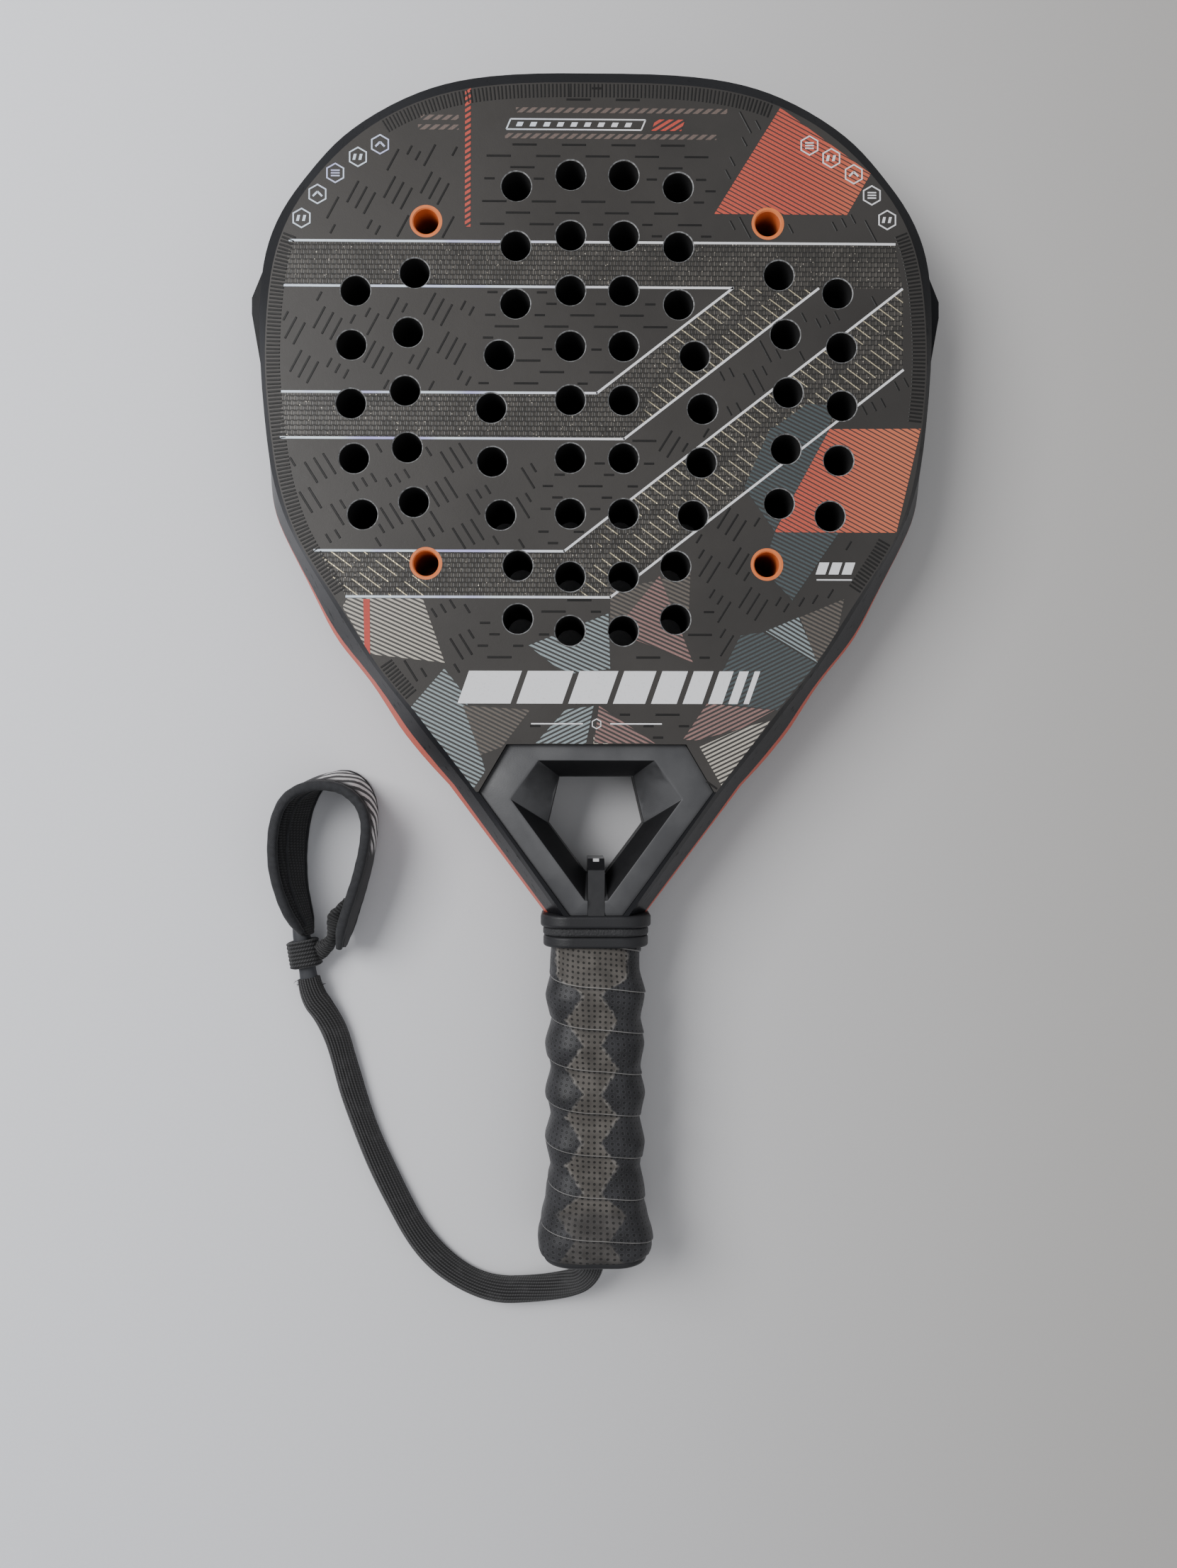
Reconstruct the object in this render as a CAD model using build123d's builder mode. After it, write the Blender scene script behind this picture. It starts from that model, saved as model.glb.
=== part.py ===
"""Padel racket with its wrist cord, as an assembly of separate pieces.

The racket lies on its rear face: +Z is up out of the front face, and +Y runs from the butt to the tip
of the head. The origin is on the rear face, on the middle line, a little below the middle of the racket.
"""

import math
import os

from build123d import *

# Driving dimensions, mm
thickness = 38.0
mid = thickness / 2
tip_y = 226.0
butt_y = -218.5
face_thick = 1.2

# Head: stations down the right side of the outline, from the tip to the collar.
# Each is (face edge x, y, widest edge x, y, how square the side wall is, from 0 bevelled to 1 upright).
head_stations = [
    (0.0, 219.0, 0.0, tip_y, 1.0),
    (31.0, 218.3, 33.0, 225.2, 1.0),
    (56.5, 214.4, 58.8, 220.9, 1.0),
    (79.0, 204.9, 82.2, 210.4, 1.0),
    (93.2, 194.3, 97.5, 199.0, 1.0),
    (103.0, 183.8, 107.6, 187.4, 1.0),
    (110.6, 173.3, 115.6, 176.4, 1.0),
    (117.4, 158.0, 122.8, 160.4, 1.0),
    (121.2, 135.0, 125.6, 135.8, 1.0),
    (121.6, 108.0, 124.8, 108.0, 0.9),
    (120.1, 91.9, 124.3, 92.0, 0.6),
    (117.8, 75.7, 124.3, 78.0, 0.3),
    (113.9, 60.5, 122.4, 64.0, 0.1),
    (109.2, 49.2, 118.0, 53.0, 0.0),
    (98.4, 32.0, 107.6, 32.5, 0.0),
    (88.2, 16.0, 98.6, 15.5, 0.0),
    (77.6, 0.0, 86.4, 0.0, 0.0),
    (66.8, -13.0, 76.6, -15.0, 0.0),
    (55.6, -27.4, 66.6, -28.2, 0.0),
]
collar_y = -88.2
throat_stations = [
    (51.0, -33.4, 62.2, -33.2, 0.0),
    (46.0, -40.0, 56.0, -39.8, 0.0),
    (11.9, collar_y, 19.6, collar_y, 0.0),
]
shoulder_z = 33.8
side_z = 26.0
tube_width = 14.0
tube_wall = 2.2
cavity_low_y = -14.0

# Side bumps on the head, one each side
bump = [(121.0, 166.0), (130.0, 143.5), (130.0, 137.5), (124.6, 107.0), (119.0, 107.0), (116.0, 158.0)]
bump_flat = 7.0
bump_taper = 24.0

# Perforations: right-hand halves of the rows of holes
hole_r = 5.5
hole_chamfer = 0.35
centre_column_x = 9.8
centre_column_y = [184.7, 162.3, 142.0, 121.5, 101.6, 80.2, 59.7, 36.5, 16.6]
inner_column = [
    (29.8, 180.4),
    (30.0, 158.3),
    (30.1, 137.0),
    (36.0, 118.0),
    (38.9, 98.5),
    (38.5, 78.7),
    (35.4, 59.1),
    (29.0, 40.5),
    (29.0, 20.9),
]
third_column = [(67.1, 148.1), (69.5, 126.2), (70.5, 104.7), (69.7, 83.8), (67.2, 63.7)]
outer_column = [(88.8, 141.5), (90.3, 121.5), (90.4, 99.9), (89.2, 79.7), (86.0, 59.1)]
sleeve_places = {"upper": (63.0, 167.2), "lower": (62.7, 41.2)}
sleeve_outer_r = 6.0
sleeve_inner_r = 4.6
sleeve_chamfer = 0.4

# Throat: a moulded cover on each side of the opening between the two arms
throat_edge = [(33.0, -25.1), (43.3, -42.6), (9.8, collar_y)]
throat_ridge = [(22.0, -30.4), (32.6, -45.4), (4.6, -83.5)]
throat_funnel = [(21.4, -31.0), (31.6, -45.2), (4.2, -82.6)]
throat_opening = [(13.9, -36.6), (18.0, -54.2), (3.7, -73.4)]
throat_edge_z = 35.8
throat_ridge_z = 37.6
throat_waist_z = 27.0
rib_width = 6.2
rib_tip_y = -67.4
rib_low_z = 1.6

# Handle: a tube with a foam core, a shaped sleeve and a wrapped overgrip
tube_w = 27.0
tube_h = 25.0
tube_corner = 6.0
handle_wall = 2.0
tube_end_y = -200.5
core_end_y = -189.5
wrap_thick = 1.8
wrap_start_y = -100.3
wrap_end_y = -215.5
bump_pitch = 18.4
first_valley_y = -110.0
bumps = 5
valley_size = (30.6, 28.6)
peak_size = (34.4, 31.6)
form_corner = 12.0
butt_sections = [(-197.6, 34.4, 30.8), (-202.4, 36.6, 32.2), (-210.2, 40.6, 34.0), (wrap_end_y, 38.8, 33.4)]
cap_end = (38.8, 33.4)
cap_end_fillet = 1.6
plug_gap = 0.15
plug_start_y = -190.5
cord_bore_r = 4.5
anchor_r = 7.0
anchor_len = 7.0
anchor_seat_y = -206.5
anchor_gap = 0.2

# Collar: three rubber bands, each (name, first y, last y, width, height)
collar_bands = [
    ("collar_band_upper", collar_y, -92.9, 41.4, 36.8),
    ("collar_band_middle", -92.9, -96.1, 39.6, 35.8),
    ("collar_band_lower", -96.1, wrap_start_y, 39.4, 35.4),
]
band_corner = 11.0
band_fillet = 1.1

# Wrist cord: the route of its middle, from the anchor in the butt to the neck of the wrist loop
cord_d = 7.2
cord_route = [
    (0.0, anchor_seat_y, mid),
    (0.0, -220.5, mid),
    (-3.0, -230.0, 13.5),
    (-11.5, -235.8, 6.2),
    (-24.0, -238.4, 3.65),
    (-40.0, -238.8, 3.65),
    (-55.5, -231.8, 3.65),
    (-68.8, -218.8, 3.65),
    (-79.0, -200.0, 3.65),
    (-88.0, -181.0, 3.65),
    (-94.4, -163.5, 3.65),
    (-98.4, -149.5, 3.65),
    (-101.6, -138.0, 4.2),
    (-106.0, -129.2, 5.2),
    (-111.0, -122.33, 5.9),
    (-112.2, -115.5, 5.9),
]

# Neck, keeper and padded wrist loop
neck_start = Vector(*cord_route[-1])
neck_dir = (neck_start - Vector(*cord_route[-2])).normalized()
neck_len = 23.0
neck_r = 3.6
keeper_at = 9.7
keeper_len = 10.0
keeper_outer_r = 5.8
keeper_bore_r = 4.0
strip_r = 2.2
strip_route = [(-106.8, -104.6, 6.0), (-103.2, -100.4, 7.6), (-100.2, -95.8, 9.6), (-98.2, -92.2, 11.0)]
pad_h = 25.0
cover_thick = 2.6
lining_thick = 1.6
binding_h = 3.0
binding_proud = 0.5
pad_route = [
    (-116.6, -91.6),
    (-118.8, -82.0),
    (-120.4, -70.0),
    (-120.0, -57.5),
    (-116.3, -46.0),
    (-109.0, -39.0),
    (-100.0, -37.0),
    (-92.0, -40.4),
    (-87.4, -48.8),
    (-86.6, -60.5),
    (-88.6, -73.5),
    (-92.6, -87.5),
    (-98.0, -103.0),
]

os.makedirs("parts", exist_ok=True)


def save(piece, label):
    """Labels a finished piece and writes it to its own file."""
    piece.label = label
    export_step(piece, f"parts/{label}.step")
    return piece


def both_sides(points):
    """The points of a right-hand half and their mirror images, right to left, as one closed ring."""
    return points + [(-x, y) for x, y in reversed(points)]


def level(widening, side=(1.0, 1.0)):
    """Outline points of the head and throat at one height.

    widening is how far a bevelled wall has gone from the face edge to the widest edge there, and an
    upright wall has gone the share of the way that side gives instead.
    """
    points = []
    for fx, fy, mx, my, square in head_stations + throat_stations:
        share = (1 - square) * widening + square * side
        points.append((fx + (mx - fx) * share, fy + (my - fy) * share))
    return points


def inset(points, distance):
    """The points of a right-hand half moved in by a distance, square to the line through each one."""
    before = [(-points[1][0], points[1][1])] + points[:-1]
    after = points[1:] + points[-1:]
    moved = []
    for (bx, by), (x, y), (ax, ay) in zip(before, points, after):
        along = Vector(ax - bx, ay - by).normalized()
        moved.append((x + along.Y * distance, y - along.X * distance))
    return moved


def outline(points):
    """The sketch inside the closed outline through the points of its right-hand half."""
    head = points[: len(head_stations)]
    throat = points[len(head_stations) - 1 :]
    with BuildSketch() as shape:
        with BuildLine():
            Spline(*head, tangents=[(1, 0), (-0.64, -0.77)])
            Polyline(*throat, (0, throat[-1][1]))
            mirror(about=Plane.YZ)
        make_face()
    return shape.sketch


def hole_places():
    """The centres of all the plain perforations."""
    right = [(centre_column_x, y) for y in centre_column_y]
    right += inner_column + third_column + outer_column
    return [(side * x, y) for side in (1, -1) for x, y in right]


def sleeve_centres():
    return [(side * x, y) for side in (1, -1) for x, y in sleeve_places.values()]


def ring_points(corners):
    """The six corners of a throat polygon, from its right-hand three."""
    return both_sides(corners)


rise = mid - face_thick
face_level = level(0.0, 0.0)
shoulder_level = level((thickness - shoulder_z) / mid, 0.85)
side_level = level((thickness - side_z) / mid, 1.0)
widest_level = level(1.0, 1.0)
frame_levels = [
    (face_thick, face_level),
    (thickness - shoulder_z, shoulder_level),
    (thickness - side_z, side_level),
    (mid, widest_level),
    (side_z, side_level),
    (shoulder_z, shoulder_level),
    (thickness - face_thick, face_level),
]

# The room inside the frame tube, for the foam core, and the room for the throat covers
with BuildSketch() as core_room:
    add(outline(inset(face_level, tube_width)))
    with Locations((0, throat_edge[0][1] - 100)):
        Rectangle(300, 200, mode=Mode.SUBTRACT)

with BuildSketch() as throat_room:
    Polygon(*ring_points(throat_edge), align=None)

# Frame: one hollow tube round the head that runs down into the two arms
with BuildPart() as frame_tube:
    for z, points in frame_levels:
        with BuildSketch(Plane.XY.offset(z)):
            add(outline(points))
    loft(ruled=True)
    with BuildSketch(Plane.XY.offset(mid)) as bump_shape:
        Polygon(*bump, align=None)
        mirror(about=Plane.YZ)
    extrude(amount=bump_flat, both=True)
    extrude(bump_shape.sketch.moved(Location((0, 0, bump_flat))), amount=9.0, taper=bump_taper)
    extrude(
        bump_shape.sketch.moved(Location((0, 0, -bump_flat))), amount=9.0, dir=(0, 0, -1), taper=bump_taper
    )
    extrude(core_room.sketch, amount=thickness, mode=Mode.SUBTRACT)
    extrude(throat_room.sketch, amount=thickness, mode=Mode.SUBTRACT)
    with BuildSketch(Plane.XY.offset(face_thick + tube_wall)):
        add(outline(inset(face_level, tube_wall)))
        add(outline(inset(face_level, tube_width - tube_wall)), mode=Mode.SUBTRACT)
        with Locations((0, cavity_low_y - 100)):
            Rectangle(300, 200, mode=Mode.SUBTRACT)
    extrude(amount=thickness - 2 * (face_thick + tube_wall), mode=Mode.SUBTRACT)
save(frame_tube.part, "frame_tube")

# Foam core of the head, with the holes right through it
with BuildPart() as foam_core:
    with BuildSketch(Plane.XY.offset(face_thick)):
        add(core_room.sketch)
        with Locations(*hole_places()):
            Circle(hole_r, mode=Mode.SUBTRACT)
        with Locations(*sleeve_centres()):
            Circle(sleeve_outer_r, mode=Mode.SUBTRACT)
    extrude(amount=thickness - 2 * face_thick)
save(foam_core.part, "foam_core")

# Face plates, front and rear, down to the top of the throat cover
with BuildPart() as front_face:
    with BuildSketch(Plane.XY.offset(thickness - face_thick)):
        add(outline(face_level))
        add(throat_room.sketch, mode=Mode.SUBTRACT)
        with Locations((0, throat_edge[1][1] - 100)):
            Rectangle(300, 200, mode=Mode.SUBTRACT)
        with Locations(*hole_places()):
            Circle(hole_r, mode=Mode.SUBTRACT)
        with Locations(*sleeve_centres()):
            Circle(sleeve_outer_r, mode=Mode.SUBTRACT)
    extrude(amount=face_thick)
    rims = front_face.edges().filter_by(GeomType.CIRCLE).group_by(Axis.Z)[-1]
    chamfer(rims.filter_by(lambda e: e.radius < sleeve_outer_r - 0.1), hole_chamfer)
save(front_face.part, "front_face")

with BuildPart() as rear_face:
    mirror(front_face.part, about=Plane.XY.offset(mid))
save(rear_face.part, "rear_face")

# Four liner sleeves through the head
for height, (x, y) in sleeve_places.items():
    for side, sign in (("right", 1), ("left", -1)):
        with BuildPart() as sleeve:
            with BuildSketch():
                with Locations((sign * x, y)):
                    Circle(sleeve_outer_r)
                    Circle(sleeve_inner_r, mode=Mode.SUBTRACT)
            extrude(amount=thickness)
            bores = sleeve.edges().filter_by(GeomType.CIRCLE)
            chamfer(bores.filter_by(lambda e: e.radius < sleeve_outer_r - 0.1), sleeve_chamfer)
        save(sleeve.part, f"sleeve_{height}_{side}")

# Throat covers: a crowned moulding with a funnel down to the opening
with BuildPart() as throat_front:
    with BuildSketch(Plane.XY.offset(mid)):
        Polygon(*ring_points(throat_edge), align=None)
    extrude(amount=throat_edge_z - mid)
    with BuildSketch(Plane.XY.offset(throat_edge_z)):
        Polygon(*ring_points(throat_edge), align=None)
    with BuildSketch(Plane.XY.offset(throat_ridge_z)):
        Polygon(*ring_points(throat_ridge), align=None)
    loft(ruled=True)
    with BuildSketch(Plane.XY.offset(throat_ridge_z)):
        Polygon(*ring_points(throat_funnel), align=None)
    with BuildSketch(Plane.XY.offset(throat_waist_z)):
        Polygon(*ring_points(throat_opening), align=None)
    loft(ruled=True, mode=Mode.SUBTRACT)
    with BuildSketch(Plane.XY.offset(mid)):
        Polygon(*ring_points(throat_opening), align=None)
    extrude(amount=mid, mode=Mode.SUBTRACT)
    with Locations((0, (rib_tip_y + collar_y) / 2, thickness)):
        Box(rib_width, rib_tip_y - collar_y, 2 * mid, mode=Mode.SUBTRACT)
save(throat_front.part, "throat_front")

with BuildPart() as throat_rear:
    mirror(throat_front.part, about=Plane.XY.offset(mid))
save(throat_rear.part, "throat_rear")

# Rib that stands in the foot of the opening, between the two covers
with BuildPart() as throat_rib:
    with BuildSketch(Plane.YZ.offset(-rib_width / 2)):
        with BuildLine():
            Polyline(
                (collar_y, rib_low_z),
                (rib_tip_y - 4, rib_low_z),
                (rib_tip_y, rib_low_z + 6),
                (rib_tip_y, thickness - rib_low_z - 6),
                (rib_tip_y - 4, thickness - rib_low_z),
                (collar_y, thickness - rib_low_z),
                close=True,
            )
        make_face()
    extrude(amount=rib_width)
save(throat_rib.part, "throat_rib")


def across(y):
    """A plane square to the handle at y, with its own +Y pointing up."""
    return Plane(origin=(0, y, mid), x_dir=(1, 0, 0), z_dir=(0, -1, 0))


def form_sections():
    """The sections of the shaped sleeve and butt: (y, width, height)."""
    sections = [(wrap_start_y, *valley_size)]
    for k in range(bumps):
        sections.append((first_valley_y - k * bump_pitch, *valley_size))
        sections.append((first_valley_y - (k + 0.5) * bump_pitch, *peak_size))
    return sections + butt_sections


def grip_form(extra):
    """The shaped form of the handle and butt, grown by extra all round."""
    with BuildPart() as form:
        for y, width, height in form_sections():
            with BuildSketch(across(y)):
                RectangleRounded(width + 2 * extra, height + 2 * extra, form_corner + extra)
        loft(ruled=True)
    return form.part


def prism(start_y, end_y, width, height, corner):
    """A rounded prism along the handle, from start_y to end_y."""
    with BuildPart() as block:
        with BuildSketch(across(start_y)):
            RectangleRounded(width, height, corner)
        extrude(amount=start_y - end_y)
    return block.part


# Handle tube and the foam inside it
inner_w = tube_w - 2 * handle_wall
inner_h = tube_h - 2 * handle_wall
inner_corner = tube_corner - handle_wall

with BuildPart() as handle_tube:
    add(prism(collar_y, tube_end_y, tube_w, tube_h, tube_corner))
    add(prism(collar_y, tube_end_y, inner_w, inner_h, inner_corner), mode=Mode.SUBTRACT)
save(handle_tube.part, "handle_tube")

with BuildPart() as handle_core:
    add(prism(collar_y, core_end_y, inner_w, inner_h, inner_corner))
save(handle_core.part, "handle_core")

# Shaped sleeve over the tube
with BuildPart() as grip_sleeve:
    add(grip_form(0))
    add(prism(collar_y, tube_end_y, tube_w, tube_h, tube_corner), mode=Mode.SUBTRACT)
    split(bisect_by=across(tube_end_y), keep=Keep.BOTTOM)
save(grip_sleeve.part, "grip_sleeve")

# Overgrip, wrapped round the sleeve and the butt
with BuildPart() as overgrip:
    add(grip_form(wrap_thick))
    add(grip_form(0), mode=Mode.SUBTRACT)
save(overgrip.part, "overgrip")

# Butt cap: a flared end with a plug that goes up inside the tube
with BuildPart() as butt_cap:
    add(grip_form(0))
    split(bisect_by=across(tube_end_y), keep=Keep.TOP)
    add(prism(wrap_end_y, butt_y, *cap_end, form_corner))
    fillet(butt_cap.faces().sort_by(Axis.Y)[0].edges(), cap_end_fillet)
    plug_size = (inner_w - 2 * plug_gap, inner_h - 2 * plug_gap)
    add(prism(plug_start_y, tube_end_y, *plug_size, inner_corner))
    with Locations(across(plug_start_y)):
        Cylinder(
            cord_bore_r,
            plug_start_y - butt_y,
            align=(Align.CENTER, Align.CENTER, Align.MIN),
            mode=Mode.SUBTRACT,
        )
        Cylinder(
            anchor_r + anchor_gap,
            plug_start_y - anchor_seat_y,
            align=(Align.CENTER, Align.CENTER, Align.MIN),
            mode=Mode.SUBTRACT,
        )
save(butt_cap.part, "butt_cap")

# Anchor that the cord is fixed to, seated inside the butt cap
with BuildPart() as cord_anchor:
    with BuildSketch(across(anchor_seat_y + anchor_len)):
        Circle(anchor_r)
    extrude(amount=anchor_len)
    chamfer(cord_anchor.edges().group_by(Axis.Y)[-1], 1.0)
save(cord_anchor.part, "cord_anchor")

# Collar bands over the top of the handle tube
for name, first_y, last_y, width, height in collar_bands:
    with BuildPart() as band:
        add(prism(first_y, last_y, width, height, band_corner))
        fillet(band.edges().filter_by(Plane.XZ), band_fillet)
        add(prism(first_y, last_y, tube_w, tube_h, tube_corner), mode=Mode.SUBTRACT)
    save(band.part, name)


def corner_radii(points):
    """The largest arc that each corner's two runs allow: 0.45 of the shorter over tan(half the turn)."""
    radii = []
    for before, here, after in zip(points, points[1:], points[2:]):
        first = Vector(*here) - Vector(*before)
        second = Vector(*after) - Vector(*here)
        turn = math.radians(first.get_angle(second))
        radii.append(0.45 * min(first.length, second.length) / math.tan(turn / 2))
    return radii


def tube_along(route, radius, label):
    """A round tube along straight runs joined by tangent arcs."""
    radii = corner_radii(route)
    with BuildPart() as tube:
        with BuildLine() as path:
            FilletPolyline(*route, radius=radii)
        line = path.wires()[0]
        with BuildSketch(Plane(origin=line @ 0, z_dir=line % 0)):
            Circle(radius)
        sweep(path=line)
    expected = math.pi * radius**2 * line.length
    print(label, "radii", [round(r, 1) for r in radii], "length", round(line.length, 1))
    print(label, "volume over section times length", round(tube.part.volume / expected, 4))
    return save(tube.part, label)


# Wrist cord
tube_along(cord_route, cord_d / 2, "wrist_cord")

# Neck of the wrist loop, and the keeper band that slides along it
neck_plane = Plane(origin=neck_start, z_dir=neck_dir)
with BuildPart() as cord_neck:
    with BuildSketch(neck_plane):
        Circle(neck_r)
    extrude(amount=neck_len)
save(cord_neck.part, "cord_neck")

with BuildPart() as keeper_band:
    with BuildSketch(neck_plane.offset(keeper_at - keeper_len / 2)):
        Circle(keeper_outer_r)
        Circle(keeper_bore_r, mode=Mode.SUBTRACT)
    extrude(amount=keeper_len)
save(keeper_band.part, "keeper_band")

tube_along(strip_route, strip_r, "keeper_strip")


def loop_strip(inner, outer, low_z, high_z, label):
    """A strip of the wrist loop between two distances outside its route's line, standing on edge."""
    with BuildPart() as strip:
        with BuildLine() as path:
            FilletPolyline(*[(x, y, 0) for x, y in pad_route], radius=corner_radii(pad_route))
        line = path.wires()[0]
        for low, high in zip(low_z, high_z):
            with BuildSketch(Plane(origin=line @ 0, x_dir=(0, 0, 1), z_dir=line % 0)):
                with Locations(((low + high) / 2, -(inner + outer) / 2)):
                    Rectangle(high - low, outer - inner)
            sweep(path=line)
    return save(strip.part, label)


# Padded wrist loop: cover outside, lining inside, and a binding round each edge
inside_z = [binding_h]
inside_top = [pad_h - binding_h]
loop_strip(0, cover_thick, inside_z, inside_top, "wrist_pad")
loop_strip(-lining_thick, 0, inside_z, inside_top, "pad_lining")
loop_strip(
    -lining_thick - binding_proud,
    cover_thick + binding_proud,
    [0, pad_h - binding_h],
    [binding_h, pad_h],
    "pad_binding",
)
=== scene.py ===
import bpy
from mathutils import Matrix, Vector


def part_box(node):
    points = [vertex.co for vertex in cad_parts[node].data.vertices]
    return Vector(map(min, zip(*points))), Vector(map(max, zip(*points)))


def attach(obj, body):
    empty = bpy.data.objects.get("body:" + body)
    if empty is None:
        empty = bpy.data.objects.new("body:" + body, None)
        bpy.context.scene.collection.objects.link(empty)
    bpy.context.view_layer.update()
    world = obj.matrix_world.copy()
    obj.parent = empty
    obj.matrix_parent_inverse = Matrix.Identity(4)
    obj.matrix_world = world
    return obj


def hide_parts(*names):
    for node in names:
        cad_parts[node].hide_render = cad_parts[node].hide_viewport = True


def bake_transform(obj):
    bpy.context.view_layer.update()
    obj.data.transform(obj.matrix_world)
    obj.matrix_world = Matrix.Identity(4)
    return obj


bl_info = {
    "name": "Padel Racket",
    "version": (1, 0, 0),
    "blender": (4, 5, 0),
    "location": "View3D > Sidebar > Racket",
    "description": "Finishes a padel racket around its packed frame",
    "category": "Object",
}

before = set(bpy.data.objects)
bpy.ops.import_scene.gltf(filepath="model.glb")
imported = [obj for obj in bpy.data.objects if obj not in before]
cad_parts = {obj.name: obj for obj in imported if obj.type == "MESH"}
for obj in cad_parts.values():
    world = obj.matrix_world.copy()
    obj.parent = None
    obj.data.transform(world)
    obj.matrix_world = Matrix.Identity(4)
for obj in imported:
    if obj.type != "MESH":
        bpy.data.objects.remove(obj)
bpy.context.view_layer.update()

import math
import random
from contextlib import contextmanager

import bpy
from bpy.props import FloatProperty, FloatVectorProperty, IntProperty, PointerProperty
from mathutils import Matrix, Vector

# Sizes without a unit in their name are in millimetres, and MM turns them into metres.
MM = 0.001
TURN = 2 * math.pi
THICKNESS = 38.0
MID = THICKNESS / 2
MERGE = 1e-6
ROUND = 60
CAMERA_PLACE = (-0.00819, -0.0433, 0.46986)
CAMERA_TURN = (0.48, -0.70, 0.076)
SENSOR = 36
PICTURE_SHAPE = 1661 / 2212
FLOOR_LEVEL = -0.16


# ---------------------------------------------------------------- sizes and colours

def colour(name, description, default):
    return FloatVectorProperty(name=name, description=description, default=default,
                               subtype="COLOR", size=3, min=0, max=1)


def length(name, description, default):
    """A length kept in millimetres."""
    return FloatProperty(name=name, description=description + ", in millimetres", default=default, min=0)


class RacketFaceSettings(bpy.types.PropertyGroup):
    laminate: colour("Laminate", "Charcoal of the striking face", (0.0375, 0.0345, 0.0320))
    weave_light: colour("Weave light", "Strands that catch the light", (0.092, 0.084, 0.074))
    weave_dark: colour("Weave dark", "Strands that lie across", (0.014, 0.013, 0.012))
    stripe_white: colour("White print", "Pinstripes, badges and bars", (0.80, 0.80, 0.82))
    warm: colour("Warm print", "Coral printed fields", (0.56, 0.085, 0.052))
    border_width: length("Border width", "Width of the ribbed border", 5.0)
    border_pitch: length("Border pitch", "Distance from rib to rib", 1.45)
    dash_length: length("Dash length", "Length of one raised dash", 9.0)
    dash_width: length("Dash width", "Width of one raised dash", 0.8)
    dash_height: length("Dash height", "Height of one raised dash", 0.14)
    pinstripe: length("Pinstripe width", "Width of the white pinstripes", 0.85)


class RacketHandleSettings(bpy.types.PropertyGroup):
    tape: colour("Overgrip", "Dark grey of the overgrip tape", (0.0250, 0.0250, 0.0270))
    worn: colour("Worn overgrip", "Brownish grey of the worn diamonds", (0.102, 0.093, 0.084))
    wrap_pitch: length("Wrap pitch", "Distance from tape edge to tape edge", 15.4)
    wrap_step: length("Wrap step", "Height of the tape edge", 0.55)
    dot_pitch: length("Perforation pitch", "Distance from hole to hole in the tape", 2.0)
    segments: IntProperty(name="Segments", description="Faces around the grip", default=128, min=32)


class RacketStrapSettings(bpy.types.PropertyGroup):
    braid: colour("Braid", "Near black of the braided cord", (0.032, 0.0315, 0.0325))
    cover: colour("Pad cover", "Dark grey of the wrist pad", (0.0150, 0.0150, 0.0170))
    piping: colour("Piping", "Slate grey of the bound edges", (0.0230, 0.0235, 0.0260))
    cord_width: length("Cord width", "Flat width of the braided cord", 9.6)
    cord_thickness: length("Cord thickness", "Thickness of the braided cord", 5.6)
    pad_height: length("Pad height", "Height of the wrist pad", 25.0)


# ---------------------------------------------------------------- shader maths

def operation(name):
    """A method that works one Math operation on the number and what is given with it."""
    return lambda self, *others: self.maths(name, *others)


class Term:
    """A number socket that Python's own operators work on."""

    def __init__(self, paint, socket):
        self.paint = paint
        self.socket = socket

    def maths(self, name, *values):
        return self.paint.node("ShaderNodeMath", dict(enumerate((self, *values))), operation=name)

    __add__ = __radd__ = operation("ADD")
    __mul__ = __rmul__ = operation("MULTIPLY")
    __sub__ = operation("SUBTRACT")
    __truediv__ = operation("DIVIDE")
    __abs__ = operation("ABSOLUTE")
    __gt__ = operation("GREATER_THAN")
    __lt__ = operation("LESS_THAN")
    part = operation("FRACT")
    steps = operation("FLOOR")
    wave = operation("SINE")
    root = operation("SQRT")
    least = operation("MINIMUM")

    def __rsub__(self, other):
        return self.paint.node("ShaderNodeMath", {0: other, 1: self}, operation="SUBTRACT")

    def ramp(self, low, high):
        """Rises smoothly from 0 at low to 1 at high, or falls where low is above high."""
        if low > high:
            return 1 - self.ramp(high, low)
        return self.paint.node("ShaderNodeMapRange", {"Value": self, "From Min": low, "From Max": high},
                               interpolation_type="SMOOTHSTEP")


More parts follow.
